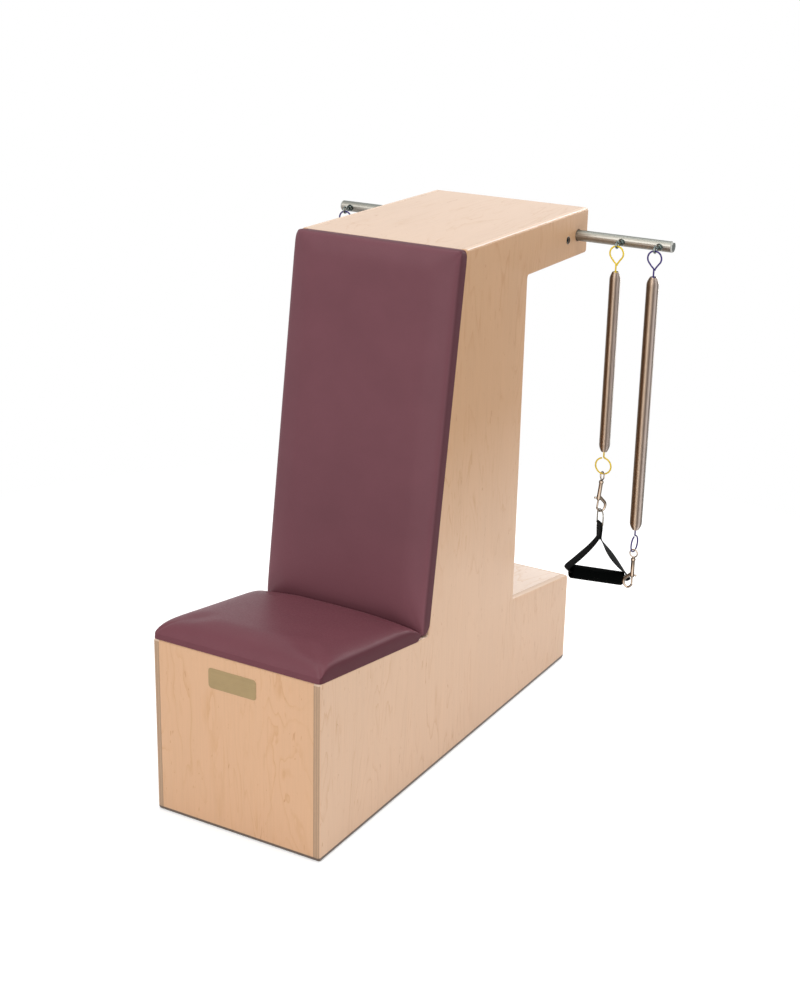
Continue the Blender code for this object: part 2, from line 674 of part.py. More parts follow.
def hook_path():
    """Middle line of the hook, from the barrel round to the tip under the bolt."""
    points = [Vector((BARREL_RADIUS * 0.3, 0, -HOOK_START))]
    steps = 10
    first, last = math.radians(50), math.radians(-146)
    for k in range(steps + 1):
        angle = first + (last - first) * k / steps
        points.append(Vector((HOOK_OUT + HOOK_HALF_WIDTH * math.cos(angle), 0,
                              -HOOK_DEPTH + HOOK_HALF_HEIGHT * math.sin(angle))))
    points.append(Vector((0, 0, -TIP_DEPTH - HOOK_WIRE * 0.6)))
    points.append(Vector((0, 0, -TIP_DEPTH - GAP)))
    return points


def hook_size(share):
    """Radius of the hook, stoutest where it leaves the barrel."""
    return HOOK_WIRE + (HOOK_ROOT - HOOK_WIRE) * max(0.0, 1 - share / HOOK_TAPER)


def snap_body():
    """Barrel with its hook. The chamber at the top holds the eye's post, the bore below the bolt."""
    collar = BARREL_TOP + 0.0045
    chamber = collar + 0.0036
    neck = SNAP_POST_RADIUS + GAP
    room = SNAP_POST_HEAD + GAP
    bore = BOLT_RADIUS + GAP
    barrel = turned([
        (BARREL_RADIUS, -BARREL_TOP), (BARREL_RADIUS + 0.0006, -collar), (BARREL_RADIUS, -chamber),
        (BARREL_RADIUS, -BARREL_BOTTOM + 0.002), (BARREL_RADIUS - 0.0008, -BARREL_BOTTOM)], "Z", 12)
    hook = wire(hook_path(), hook_size, 8, Vector((0, 1, 0)))
    hollow = turned([
        (neck, -BARREL_TOP + GAP), (neck, -collar), (room, -collar), (room, -chamber),
        (neck, -chamber - 0.002), (bore, -chamber - 0.004), (bore, -TIP_DEPTH)], "Z", 12)
    slot = box((-2 * BARREL_RADIUS, -KNOB_RADIUS - GAP, -KNOB_DEPTH - KNOB_RADIUS - GAP),
               (0, KNOB_RADIUS + GAP, -KNOB_DEPTH + KNOB_RADIUS + BOLT_TRAVEL + GAP))
    return combine(combine(barrel, [hook], "UNION"), [hollow, slot], "DIFFERENCE")


def snap_bolt():
    """Sliding bolt with its thumb knob; the origin is where the knob meets the bolt's axis."""
    pin = rod(BOLT_RADIUS, KNOB_DEPTH - TIP_DEPTH, BOLT_TRAVEL, "Z", 12)
    knob = turned([(0.0018, -KNOB_REACH - 0.001), (0.0026, -KNOB_REACH), (0.0026, -KNOB_REACH + 0.0006),
                   (KNOB_RADIUS, -KNOB_REACH + 0.0014), (KNOB_RADIUS, 0)], "X", 10)
    return combine(pin, [knob], "UNION")


def handle_ring():
    """D ring in the plane of Y and Z, hanging from the hook's wire at the origin."""
    top = HOOK_WIRE + RING_WIRE + GAP
    bow = RING_WIDTH / 2
    low = top - RING_HEIGHT
    corners = [(-bow, low), (bow, low), (bow, top), (-bow, top)]
    points = outline(corners, [RING_CORNER, RING_CORNER, bow - 0.0005, bow - 0.0005], steps=5)
    path = [Vector((0, y, z)) for y, z in points]
    return wire(path, RING_WIRE, 6, Vector((1, 0, 0)), closed=True)


def grip_point(along, out=0.0):
    """A point of the strap's plane, by its place along the grip's axis and out from it."""
    axis = Vector((math.cos(GRIP_TILT), 0, -math.sin(GRIP_TILT)))
    up = Vector((math.sin(GRIP_TILT), 0, math.cos(GRIP_TILT)))
    return Vector((0, 0, -GRIP_DROP)) + axis * along + up * out


def smooth_path(points, steps):
    """A smooth curve through points, as Catmull and Rom draw it."""
    padded = [points[0]] + points + [points[-1]]
    curve = []
    for a, b, c, d in zip(padded, padded[1:], padded[2:], padded[3:]):
        for k in range(steps):
            t = k / steps
            curve.append(0.5 * (2 * b + (c - a) * t + (2 * a - 5 * b + 4 * c - d) * t * t
                                + (3 * b - a - 3 * c + d) * t ** 3))
    return curve + [points[-1]]


def ribbon(path, width_at, closed=False):
    """Sweeps flat webbing along a path in the plane of X and Z."""
    rings = []
    half = STRAP_THICKNESS / 2
    last = len(path) - 1
    for i, point in enumerate(path):
        before = path[i - 1] if closed or i else path[0]
        after = path[(i + 1) % len(path)] if closed or i < last else path[last]
        ahead = (after - before).normalized()
        out = Vector((-ahead.z, 0, ahead.x))
        wide = Vector((0, width_at(point) / 2, 0))
        rings.append([point + out * half + wide, point + out * half - wide,
                      point - out * half - wide, point - out * half + wide])
    return loft(rings, closed)


def strap_leg(end):
    """Points of one leg, from the neck to the inside of the grip; end is 1 for the lower end."""
    half = GRIP_LENGTH / 2
    foot = Vector((end * STRAP_THICKNESS, 0, -STRAP_NECK))
    turn = grip_point(end * (half + STRAP_REACH), STRAP_RISE)
    inward = (turn - foot).cross(Vector((0, end, 0))).normalized() * STRAP_SAG
    return [
        foot,
        foot.lerp(turn, 0.15) + inward * 0.5,
        foot.lerp(turn, 0.45) + inward,
        foot.lerp(turn, 0.80) + inward * 0.3,
        turn,
        grip_point(end * (half + STRAP_REACH * 0.7), STRAP_RISE * 0.1),
        grip_point(end * (half + STRAP_REACH * 0.15)),
        grip_point(end * half * 0.8),
        grip_point(end * half * 0.3),
    ]


def strap_width(point):
    """Full width outside the grip, folded narrower where it runs through the bore."""
    inside = 2 * math.sqrt((GRIP_BORE - GAP) ** 2 - STRAP_THICKNESS ** 2 / 4)
    place = point - grip_point(0)
    along = place.dot(grip_point(1) - grip_point(0))
    if place.length ** 2 - along ** 2 > GRIP_RADIUS ** 2:
        spread = min(1.0, max(0.0, -point.z - STRAP_NECK) / (STRAP_WIDTH * 1.5))
        return NECK_WIDTH + (STRAP_WIDTH - NECK_WIDTH) * spread
    share = max(0.0, min(1.0, (abs(along) - GRIP_LENGTH / 2) / (STRAP_REACH * 0.5) - 0.4))
    return inside + (STRAP_WIDTH - inside) * share


def strap():
    """Webbing from the ring bar at the origin, down both sides and through the grip."""
    knots = strap_leg(-1) + strap_leg(1)[::-1]
    big = ribbon(smooth_path(knots, 3), strap_width)
    eye_radius = RING_WIRE + GAP + STRAP_THICKNESS / 2
    wrap = ring(Vector((0, 0, 0)), eye_radius, Vector((0, 0, 1)), Vector((1, 0, 0)), 12)
    small = ribbon(wrap, lambda point: NECK_WIDTH, closed=True)
    stitched = Vector((STRAP_THICKNESS * 1.7, NECK_WIDTH / 2 + GAP, 0))
    neck = box(Vector((0, 0, -STRAP_NECK - STRAP_THICKNESS * 2)) - stitched,
               Vector((0, 0, -eye_radius)) + stitched)
    return combine(big, [neck, small], "UNION")


def grip():
    """Foam tube about X, round edged."""
    half = GRIP_LENGTH / 2
    edge = GRIP_EDGE
    soft = edge * 0.3
    return tube([(GRIP_BORE, -half), (GRIP_RADIUS - edge, -half), (GRIP_RADIUS - soft, -half + soft),
                 (GRIP_RADIUS, -half + edge), (GRIP_RADIUS, half - edge),
                 (GRIP_RADIUS - soft, half - soft), (GRIP_RADIUS - edge, half), (GRIP_BORE, half)], "X")


def spring(side, label, inner, parent):
    """One spring with what hangs on it; every empty stands on the joint that it is named after."""
    x = INNER_X if inner else OUTER_X
    length = INNER_COIL_LENGTH if inner else OUTER_COIL_LENGTH
    radius = INNER_COIL_RADIUS if inner else OUTER_COIL_RADIUS
    curls = INNER_CURLS if inner else OUTER_CURLS
    paint = YELLOW if inner else PURPLE
    eyebolt(label + "_eyebolt", side, x, parent)

    hang = Vector((side * x, BAR_Y - EYE_REACH * math.cos(EYE_DIP),
                   BAR_Z - EYE_REACH * math.sin(EYE_DIP) - EYE_RADIUS + EYE_WIRE + WIRE + GAP))
    swing = empty(label + "_swing", parent, hang)
    finish(label + "_top_loop", loop(TOP_LOOP_RADIUS, TOP_LOOP_NECK, radius), paint, swing, side)
    start = -TOP_LOOP_NECK - STEM
    wound = moved(coil(length, radius, curls), (0, 0, start))
    finish(label + "_coil", wound, COIL_STEEL, swing)

    foot = start - length - STEM - LOW_LOOP_NECK
    stretch = empty(label + "_stretch", swing, (0, 0, foot))
    low = moved(loop(LOW_LOOP_RADIUS, LOW_LOOP_NECK, radius), (0, 0, 0), (0, math.pi, 0))
    if not inner:
        low = moved(low, (0, 0, 0), (0, 0, math.pi / 2))
    finish(label + "_low_loop", low, paint, stretch, side)

    lean, turn = (SNAP_LEAN, HANDLE_TURN) if inner else (0.0, math.pi)
    tip = empty(label + "_snap_swing", stretch, (0, 0, 0), (0, side * lean, side * turn))
    finish(label + "_snap_eye", snap_eye(inner), NICKEL, tip, side)
    swivel = empty(label + "_swivel", tip)
    finish(label + "_snap_body", snap_body(), NICKEL, swivel, side)
    bolt = empty(label + "_bolt_slide", swivel, (0, 0, -KNOB_DEPTH))
    finish(label + "_snap_bolt", snap_bolt(), NICKEL, bolt, side)
    if inner:
        handle(side, label, swivel)


def handle(side, label, swivel):
    ring_swing = empty(label + "_ring_swing", swivel, (side * REST_OUT, 0, -HOOK_LOW),
                       (0, -side * SNAP_LEAN, 0))
    finish(label + "_handle_ring", handle_ring(), NICKEL, ring_swing, side)
    bar = HOOK_WIRE + RING_WIRE + GAP - RING_HEIGHT
    strap_swing = empty(label + "_strap_swing", ring_swing, (0, 0, bar))
    finish(label + "_handle_strap", strap(), BLACK_WEBBING, strap_swing, side)
    grip_spin = empty(label + "_grip_spin", strap_swing, (0, 0, -GRIP_DROP), (0, side * GRIP_TILT, 0))
    finish(label + "_handle_grip", grip(), BLACK_FOAM, grip_spin, side)


def build():
    clear_scene()
    chair = empty("chair", place=(0, -MIDDLE_Y, 0))
    case(chair)
    upholstery(chair)
    cross_bar(chair)
    stretcher_screws(chair)
    name_plate(chair)
    for side, word in ((1, "right"), (-1, "left")):
        spring(side, word + "_inner", True, chair)
        spring(side, word + "_outer", False, chair)


build()
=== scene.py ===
"""Looks of the pilates arm chair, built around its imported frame.

Metres, +Z up, +Y towards the rear, +X to the right seen from the front, as in the frame.
"""
from math import acos, atan2, cos, pi, radians, sin, sqrt, tan

import bmesh
import bpy
from mathutils import Euler, Matrix, Vector
from mathutils.kdtree import KDTree


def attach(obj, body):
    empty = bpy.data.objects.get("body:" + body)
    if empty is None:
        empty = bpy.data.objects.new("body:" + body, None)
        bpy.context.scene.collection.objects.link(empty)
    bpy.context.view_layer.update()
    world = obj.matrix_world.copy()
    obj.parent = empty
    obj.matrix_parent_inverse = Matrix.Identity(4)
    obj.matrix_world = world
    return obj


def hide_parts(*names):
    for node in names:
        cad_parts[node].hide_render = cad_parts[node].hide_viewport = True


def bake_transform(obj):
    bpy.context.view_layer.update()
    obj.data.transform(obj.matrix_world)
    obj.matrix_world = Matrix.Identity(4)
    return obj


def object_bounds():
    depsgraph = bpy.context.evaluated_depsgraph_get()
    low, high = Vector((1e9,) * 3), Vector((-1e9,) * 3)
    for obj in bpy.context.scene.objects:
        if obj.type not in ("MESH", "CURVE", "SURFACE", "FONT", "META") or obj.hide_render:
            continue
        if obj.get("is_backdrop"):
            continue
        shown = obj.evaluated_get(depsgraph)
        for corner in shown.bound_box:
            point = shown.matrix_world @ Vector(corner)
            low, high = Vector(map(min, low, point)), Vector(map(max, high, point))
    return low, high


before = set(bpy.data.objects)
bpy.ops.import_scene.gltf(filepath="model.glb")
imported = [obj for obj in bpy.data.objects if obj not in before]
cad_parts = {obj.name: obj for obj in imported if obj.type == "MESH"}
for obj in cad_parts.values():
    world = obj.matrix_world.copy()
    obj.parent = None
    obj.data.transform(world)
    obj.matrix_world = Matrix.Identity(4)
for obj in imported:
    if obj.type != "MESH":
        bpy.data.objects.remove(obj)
cad_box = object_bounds()

# Sizes, the same as in the part
GAP = 0.0003
WIDTH = 0.356
DEPTH = 1.010
HEIGHT = 1.012
PLY = 0.0127
SEAT_FRONT_HEIGHT = 0.350
SEAT_TILT = radians(8.4)
SEAT_DEPTH = 0.376
UPRIGHT_DEPTH = 0.738
OVERHANG_HEIGHT = 0.093
EDGE_ROUND = 0.005
CORNER_RADIUS = 0.007
FOOT_CORNER_RADIUS = 0.010
INNER_CORNER_RADIUS = 0.006
SEAT_CORNER_RADIUS = 0.003
PAD_SIDE_HEIGHT = 0.020
SEAT_HEIGHT = 0.044
BACK_HEIGHT = 0.037
PLATE_WIDTH = 0.102
PLATE_HEIGHT = 0.039
PLATE_THICKNESS = 0.0008
PLATE_CORNER = 0.0065
PLATE_OFFSET = -0.005
PLATE_BELOW_SEAT = 0.048
BAR_RADIUS = 0.0111
BAR_FROM_REAR = 0.048
BAR_FROM_TOP = 0.050
SCREW_FROM_BAR = 0.047
SCREW_BELOW_BAR = 0.003
SCREW_RADIUS = 0.00325
SCREW_HEAD_RADIUS = 0.0060
SCREW_HEAD_HEIGHT = 0.005
SCREW_SUNK = 0.0012
MOUTH_DEPTH = 0.003
MOUTH_WIDENING = 0.0015
OUTER_X = 0.359
INNER_X = 0.278
EYE_REACH = 0.0316
EYE_DIP = radians(5.0)
EYE_RADIUS = 0.0067
EYE_WIRE = 0.0018
SHANK_RADIUS = 0.0025
NUT_WIDTH = 0.0105
NUT_HEIGHT = 0.0048
WASHER_DIAMETER = 0.015
WASHER_HEIGHT = 0.0014
WIRE = 0.0017
TOP_LOOP_RADIUS = 0.0145
TOP_LOOP_NECK = 0.038
LOW_LOOP_RADIUS = 0.0172
LOW_LOOP_NECK = 0.0355
PINCH = 0.0035
STEM = 0.0125
COIL_END_RADIUS = 0.0061
COIL_TAPER = 0.017
INNER_COIL_LENGTH = 0.380
INNER_COIL_RADIUS = 0.0114
OUTER_COIL_LENGTH = 0.5365
OUTER_COIL_RADIUS = 0.0128
SNAP_EYE_RADIUS = 0.0083
SNAP_WIRE = 0.0015
SNAP_PLAY = 0.0006
SNAP_POST_RADIUS = 0.0022
BARREL_RADIUS = 0.0046
BARREL_TOP = 0.0153
BARREL_BOTTOM = 0.0580
BOLT_RADIUS = 0.0020
KNOB_DEPTH = 0.0530
KNOB_RADIUS = 0.0015
KNOB_REACH = 0.0085
BOLT_TRAVEL = 0.009
HOOK_WIRE = 0.0023
HOOK_ROOT = 0.0036
HOOK_TAPER = 0.45
HOOK_START = 0.0500
HOOK_OUT = 0.0092
HOOK_DEPTH = 0.0710
HOOK_HALF_WIDTH = 0.0089
HOOK_HALF_HEIGHT = 0.0116
TIP_DEPTH = 0.0745
HANDLE_TURN = radians(48.0)
RING_WIRE = 0.0015
RING_WIDTH = 0.029
RING_HEIGHT = 0.031
RING_CORNER = 0.0035
STRAP_WIDTH = 0.025
NECK_WIDTH = 0.024
WAIST_WIDTH = 0.017
STRAP_THICKNESS = 0.0016
STRAP_NECK = 0.031
LEG_SAG = 0.0035
LEG_TWIST = radians(33.0)
STRAP_REACH = 0.0110
STRAP_RISE = 0.0085
GRIP_LENGTH = 0.124
GRIP_RADIUS = 0.015
GRIP_BORE = 0.011
GRIP_EDGE = 0.003
GRIP_TILT = radians(14.0)
GRIP_DROP = 0.1178

SLOPE = tan(SEAT_TILT)
HALF = WIDTH / 2
MIDDLE_Y = (DEPTH - 0.0011) / 2
BAR_Y = DEPTH - BAR_FROM_REAR
BAR_Z = HEIGHT - BAR_FROM_TOP
SCREW_Y = BAR_Y - SCREW_FROM_BAR
SCREW_Z = BAR_Z - SCREW_BELOW_BAR
ALONG_SEAT = Vector((0, cos(SEAT_TILT), -sin(SEAT_TILT)))
ALONG_BACK = Vector((0, sin(SEAT_TILT), cos(SEAT_TILT)))
HOOK_LOW = HOOK_DEPTH + HOOK_HALF_HEIGHT
SNAP_LEAN = atan2(HOOK_OUT, HOOK_LOW)
COLLAR = BARREL_TOP + 0.0045
REST_OUT = HOOK_OUT + HOOK_HALF_WIDTH ** 2 * sin(SNAP_LEAN) / HOOK_HALF_HEIGHT


# Materials

class Shader:
    """A material with a Principled shader and a few helpers for its nodes."""

    def __init__(self, name, roughness=0.5, metallic=0.0, **sockets):
        self.material = bpy.data.materials.new(name)
        self.material.use_nodes = True
        self.tree = self.material.node_tree
        self.shader = self.tree.nodes["Principled BSDF"]
        self.shader.inputs["Roughness"].default_value = roughness
        self.shader.inputs["Metallic"].default_value = metallic
        for socket, value in sockets.items():
            self.shader.inputs[socket.replace("_", " ")].default_value = value

    def node(self, kind, **settings):
        made = self.tree.nodes.new("ShaderNode" + kind)
        for name, value in settings.items():
            setattr(made, name, value)
        return made

    def link(self, source, target):
        self.tree.links.new(source, target)

    def place(self, scale):
        """Place on the chair times a scale, which is one number or a list with one for each axis."""
        mapping = self.node("Mapping")
        mapping.inputs["Scale"].default_value = scale if isinstance(scale, list) else [scale] * 3
        self.link(self.node("TexCoord").outputs["Object"], mapping.inputs["Vector"])
        return mapping.outputs["Vector"]

    def parts(self, output):
        """X, Y and Z of a texture coordinate, such as the place or the normal."""
        made = self.node("SeparateXYZ")
        self.link(self.node("TexCoord").outputs[output], made.inputs[0])
        return made.outputs

    def towards(self, direction):
        """How far the surface faces a fixed direction, from -1 to 1."""
        made = self.node("VectorMath", operation="DOT_PRODUCT")
        self.link(self.node("TexCoord").outputs["Normal"], made.inputs[0])
        made.inputs[1].default_value = direction
        return made.outputs["Value"]

    def turn(self):
        """Zero where the surface faces the viewer, one where it is seen edge on."""
        made = self.node("LayerWeight")
        made.inputs["Blend"].default_value = 0.5
        return made.outputs["Facing"]

    def noise(self, scale, detail, roughness=0.5, distortion=0.0):
        made = self.node("TexNoise")
        values = {"Scale": 1.0, "Detail": detail, "Roughness": roughness, "Distortion": distortion}
        for socket, value in values.items():
            made.inputs[socket].default_value = value
        self.link(self.place(scale), made.inputs["Vector"])
        return made.outputs["Fac"]

    def ramp(self, source, *stops):
        """Colours by value; each stop is (place, colour or grey)."""
        made = self.node("ValToRGB")
        points = made.color_ramp.elements
        while len(points) < len(stops):
            points.new(0.5)
        for point, (place, colour) in zip(points, stops):
            point.position = place
            point.color = (*colour, 1.0) if isinstance(colour, tuple) else (colour, colour, colour, 1.0)
        self.link(source, made.inputs["Fac"])
        return made.outputs["Color"]

    def mix(self, share, first, second, blend="MIX"):
        made = self.node("Mix", data_type="RGBA", blend_type=blend)
        for socket, value in ((0, share), (6, first), (7, second)):
            if isinstance(value, (int, float)):
                made.inputs[socket].default_value = value if socket == 0 else (value, value, value, 1.0)
            elif isinstance(value, tuple):
                made.inputs[socket].default_value = (*value, 1.0)
            else:
                self.link(value, made.inputs[socket])
        return made.outputs[2]

    def math(self, operation, first, second=0.0, third=0.0):
        made = self.node("Math", operation=operation)
        for socket, value in enumerate((first, second, third)):
            if isinstance(value, (int, float)):
                made.inputs[socket].default_value = value
            else:
                self.link(value, made.inputs[socket])
        return made.outputs[0]

    def colour(self, source):
        if isinstance(source, tuple):
            self.shader.inputs["Base Color"].default_value = (*source, 1.0)
        else:
            self.link(source, self.shader.inputs["Base Color"])

    def bump(self, height, strength, distance):
        made = self.node("Bump")
        made.inputs["Strength"].default_value = strength
        made.inputs["Distance"].default_value = distance
        self.link(height, made.inputs["Height"])
        self.link(made.outputs["Normal"], self.shader.inputs["Normal"])

    def rough(self, source):
        self.link(source, self.shader.inputs["Roughness"])


def srgb(red, green, blue):
    """Linear colour of a colour as a picture stores it."""
    values = [value / 255 for value in (red, green, blue)]
    return tuple(v / 12.92 if v <= 0.04045 else ((v + 0.055) / 1.055) ** 2.4 for v in values)


def tones(*stops):
    """Ramp stops from a place and a picture's colour each."""
    return [(place, srgb(*colour)) for place, *colour in stops]


def shade(colour, factor):
    return tuple(value * factor for value in colour)


def scaled(size, grain, along):
    """Texture scale with its own value along the grain."""
    return [along if axis == grain else size for axis in "XYZ"]


def wood_face(made, grain, base):
    """Lacquered veneer with growth lines, fibres and flecks: its colour and its relief."""
    growth = made.noise(scaled(9.0, grain, 1.7), 3.0, 0.5, 0.9)
    ripple = made.noise(scaled(64.0, grain, 14.0), 4.0, 0.55)
    level = made.math("MULTIPLY_ADD", ripple, 0.060, growth)
    contour = made.math("FRACT", made.math("MULTIPLY", level, 15.0))
    lines = made.ramp(contour, (0.0, 0.8), (0.10, 0.35), (0.30, 0.0), (0.95, 0.0), (1.0, 0.8))
    patches = made.noise(scaled(16.0, grain, 6.0), 2.0)
    strength = made.math("MULTIPLY", lines, made.ramp(patches, (0.42, 0.10), (0.60, 0.70)))
    fibre = made.noise(scaled(240.0, grain, 8.0), 3.0, 0.6, 0.8)
    fleck = made.noise(scaled(130.0, grain, 22.0), 2.0, 0.55, 1.6)
    broad = made.noise(scaled(9.0, grain, 2.0), 3.0)
    face = made.mix(made.ramp(broad, (0.30, 0.35), (0.50, 0.0)), base, 0.93, "MULTIPLY")
    face = made.mix(strength, face, GRAIN_TINT, "MULTIPLY")
    face = made.mix(made.ramp(fibre, (0.36, 0.30), (0.60, 0.0)), face, 0.90, "MULTIPLY")
    face = made.mix(made.ramp(fleck, (0.69, 0.0), (0.74, 0.7)), face, FLECK_TINT, "MULTIPLY")
    return face, made.mix(0.5, fibre, ripple)


def wood_edge(made, layers, across):
    """Stacked plies with their end grain."""
    plies = made.math("FRACT", made.math("MULTIPLY", made.math("ABSOLUTE", across), 0.5 / VENEER))
    edge = made.ramp(plies, *[(place, shade(EDGE_TONE, level)) for place, level in PLIES])
    end_grain = made.noise(scaled(90.0, layers, 900.0), 3.0)
    return made.mix(made.ramp(end_grain, (0.40, 0.0), (0.70, 0.35)), edge, shade(EDGE_TONE, 0.80))


def plywood(name, colour, grain, layers, upper=None, glint=None):
    """Lacquered plywood: face grain along one axis, edge layers stacked along another.

    The face goes over to the upper colour between the seat and the top of the case; the side's darker upper
    colour is painted shade on the upright. Edges that look up get painted light, as light as the top panel,
    and round that panel their curve has the glint's colour, a painted highlight. A band of painted shade
    runs along the bottom of the case.
    """
    made = Shader(name, roughness=0.40, Specular_IOR_Level=0.22)
    parts = made.parts("Object")
    normals = made.parts("Normal")
    axis = "XYZ".index(layers)
    # Painted shade: where an upper colour is given, the face darkens towards it higher up.
    base = made.mix(made.ramp(parts[2], (0.38, 0.0), (0.68, 1.0)), colour, upper or colour)
    face, relief = wood_face(made, grain, base)

    lit = colour
    # Painted highlight on the rounded edges round the top panel.
    if glint:
        round_part = made.ramp(normals[2], (0.90, 1.0), (0.975, 0.0))
        high = made.ramp(parts[2], (0.90, 0.0), (0.96, 1.0))
        lit = made.mix(made.math("MULTIPLY", round_part, high), UPWARD_EDGE_PAINTED_LIGHT, glint)
    # Painted light: edges that face up take a light colour in place of their plies.
    upward = made.ramp(normals[2], (0.15, 0.0), (0.40, 1.0))
    edge = made.mix(upward, wood_edge(made, layers, parts[axis]), lit)
    forward = made.math("MULTIPLY", normals[1], -1.0)
    behind_pad = made.math("MULTIPLY", made.ramp(parts[2], (0.345, 0.0), (0.365, 1.0)),
                           made.ramp(forward, (0.1, 0.0), (0.3, 1.0)))
    edge = made.mix(behind_pad, edge, face)

    facing = made.math("ABSOLUTE", normals[axis])
    panel = made.mix(made.ramp(facing, (0.62, 0.0), (0.84, 1.0)), edge, face)
    # Painted shade: a dark band along the bottom few millimetres, where the rounded bottom edge is in shade.
    foot = made.ramp(made.math("MULTIPLY", parts[2], 100.0), (0.80, 1.0), (0.90, 0.0))
    made.colour(made.mix(foot, panel, BOTTOM_PAINTED_SHADE))
    made.bump(relief, 0.05, 0.0003)
    return made.material


def vinyl(name, colour, sideways, crease):
    """Upholstery vinyl with a fine pebbled grain, painted shade and less gloss on the sides of its cushion.

    Sideways is a direction with the ramp of how much a surface that faces along it is a side. Crease
    is an axis, a shift and the ramp along it of how near the cushions' crease is, which is painted paler as
    painted light.
    """
    made = Shader(name, roughness=0.42)
    # Painted shade: surfaces that face sideways are darkened and given less gloss.
    side = made.ramp(made.math("ABSOLUTE", made.towards(sideways[0])), *sideways[1:])
    made.link(made.ramp(side, (0.0, 0.14), (1.0, 0.03)), made.shader.inputs["Specular IOR Level"])
    axis, shift = crease[:2]
    # Painted light: the colour turns paler near the crease, against the shade that falls there.
    near = made.ramp(made.math("ADD", made.parts("Object")[axis], shift), *crease[2:])
    soft = made.noise(14.0, 3.0)
    fine = made.noise(260.0, 3.0)
    cells = made.node("TexVoronoi", feature="DISTANCE_TO_EDGE")
    cells.inputs["Scale"].default_value = 1.0
    made.link(made.place(850.0), cells.inputs["Vector"])
    pebble = made.ramp(cells.outputs["Distance"], (0.0, 0.0), (0.35, 1.0))
    tone = made.mix(made.ramp(soft, (0.3, 0.0), (0.7, 1.0)), shade(colour, 0.96), shade(colour, 1.04))
    tone = made.mix(near, tone, shade(colour, CREASE_PAINTED_LIGHT))
    tone = made.mix(side, tone, shade(colour, SIDE_PAINTED_SHADE))
    furrow = made.ramp(cells.outputs["Distance"], (0.0, 0.30), (0.12, 0.0))
    made.colour(made.mix(furrow, tone, shade(colour, 0.7)))
    made.bump(made.mix(0.35, pebble, fine), 0.18, 0.00025)
    made.rough(made.ramp(fine, (0.3, 0.38), (0.7, 0.48)))
    return made.material


def metal(name, bands, roughness, streak=None, level=1.0):
    """Metal whose tone, a painted reflection of a studio's walls, changes from the middle of a round form to
    its rims.

    Bands are (place, colour) from facing the viewer to edge on; streak draws scratches along one axis.
    """
    made = Shader(name, roughness=roughness, metallic=level)
    # Painted reflection: light and dark bands by how far the surface turns away from the viewer.
    tone = made.ramp(made.turn(), *bands)
    scratch = made.noise(scaled(900.0, streak, 12.0) if streak else 900.0, 3.0)
    cloud = made.noise(60.0, 4.0)
    made.colour(made.mix(made.ramp(cloud, (0.35, 0.0), (0.7, 0.22)), tone, shade(bands[0][1], 0.6)))
    made.bump(scratch, 0.06, 0.0001)
    made.rough(made.ramp(scratch, (0.3, roughness * 0.8), (0.7, roughness * 1.25)))
    return made.material


def walled(name, direction, stops, roughness, streak):
    """Metal with painted reflections: the light and dark bands that a studio's walls put on a long round
    form.

    A band's place runs from 0, where the surface faces against the direction, to 1, where it faces along it.
    """
    made = Shader(name, roughness=roughness, metallic=1.0)
    # Painted reflection: bands by how far the surface faces a fixed direction.
    tone = made.ramp(made.math("MULTIPLY_ADD", made.towards(direction), 0.5, 0.5), *stops)
    scratch = made.noise(scaled(700.0, streak, 14.0), 3.0)
    cloud = made.noise(45.0, 4.0)
    tone = made.mix(made.ramp(scratch, (0.40, 0.0), (0.66, 0.30)), tone, 0.72, "MULTIPLY")
    made.colour(made.mix(made.ramp(cloud, (0.45, 0.0), (0.72, 0.25)), tone, 0.80, "MULTIPLY"))
    made.bump(scratch, 0.05, 0.0001)
    return made.material


def paint(name, colour, dark):
    """Coated wire with a painted highlight where it faces the viewer and painted shade towards its rims."""
    made = Shader(name, roughness=0.34, Specular_IOR_Level=0.3)
    # Painted highlight in the middle, painted shade at the rims.
    tone = made.ramp(made.turn(), (0.0, shade(colour, 1.15)), (0.45, colour), (0.9, dark))
    cloud = made.noise(300.0, 3.0)
    made.colour(made.mix(made.ramp(cloud, (0.4, 0.0), (0.75, 0.25)), tone, dark))
    made.bump(cloud, 0.1, 0.0001)
    return made.material


def cap(name, face, rim):
    """Moulded plug: dark on its end face, with a painted highlight on its rim."""
    made = Shader(name, roughness=0.4, Specular_IOR_Level=0.3)
    fine = made.noise(900.0, 2.0)
    facing = made.math("ABSOLUTE", made.parts("Normal")[0])
    # Painted highlight: the rim round the end face takes the bright colour.
    tone = made.mix(made.ramp(facing, (0.86, 0.0), (0.97, 1.0)), rim, face)
    made.colour(made.mix(made.ramp(fine, (0.4, 0.0), (0.7, 0.35)), tone, 0.75, "MULTIPLY"))
    made.bump(fine, 0.15, 0.0001)
    return made.material


def plastic(name, colour, roughness):
    made = Shader(name, roughness=roughness, Specular_IOR_Level=0.25)
    fine = made.noise(1200.0, 2.0)
    made.colour(made.mix(made.ramp(fine, (0.4, 0.0), (0.7, 0.3)), colour, shade(colour, 0.8)))
    made.bump(fine, 0.15, 0.0001)
    return made.material


def webbing(name, colour):
    """Woven strap; U runs across it and V along it, both in millimetres."""
    made = Shader(name, roughness=0.62, Specular_IOR_Level=0.05)
    parts = made.parts("UV")
    across = made.math("SINE", made.math("MULTIPLY", parts[0], pi / 0.9))
    along = made.math("SINE", made.math("MULTIPLY", parts[1], pi / 0.7))
    weave = made.math("MULTIPLY", across, along)
    height = made.math("MULTIPLY_ADD", weave, 0.5, 0.5)
    fuzz = made.noise(900.0, 2.0)
    tone = made.ramp(height, (0.0, shade(colour, 0.5)), (1.0, shade(colour, 1.6)))
    made.colour(made.mix(made.ramp(fuzz, (0.5, 0.0), (0.8, 0.4)), tone, shade(colour, 2.5)))
    made.bump(height, 0.4, 0.0003)
    return made.material


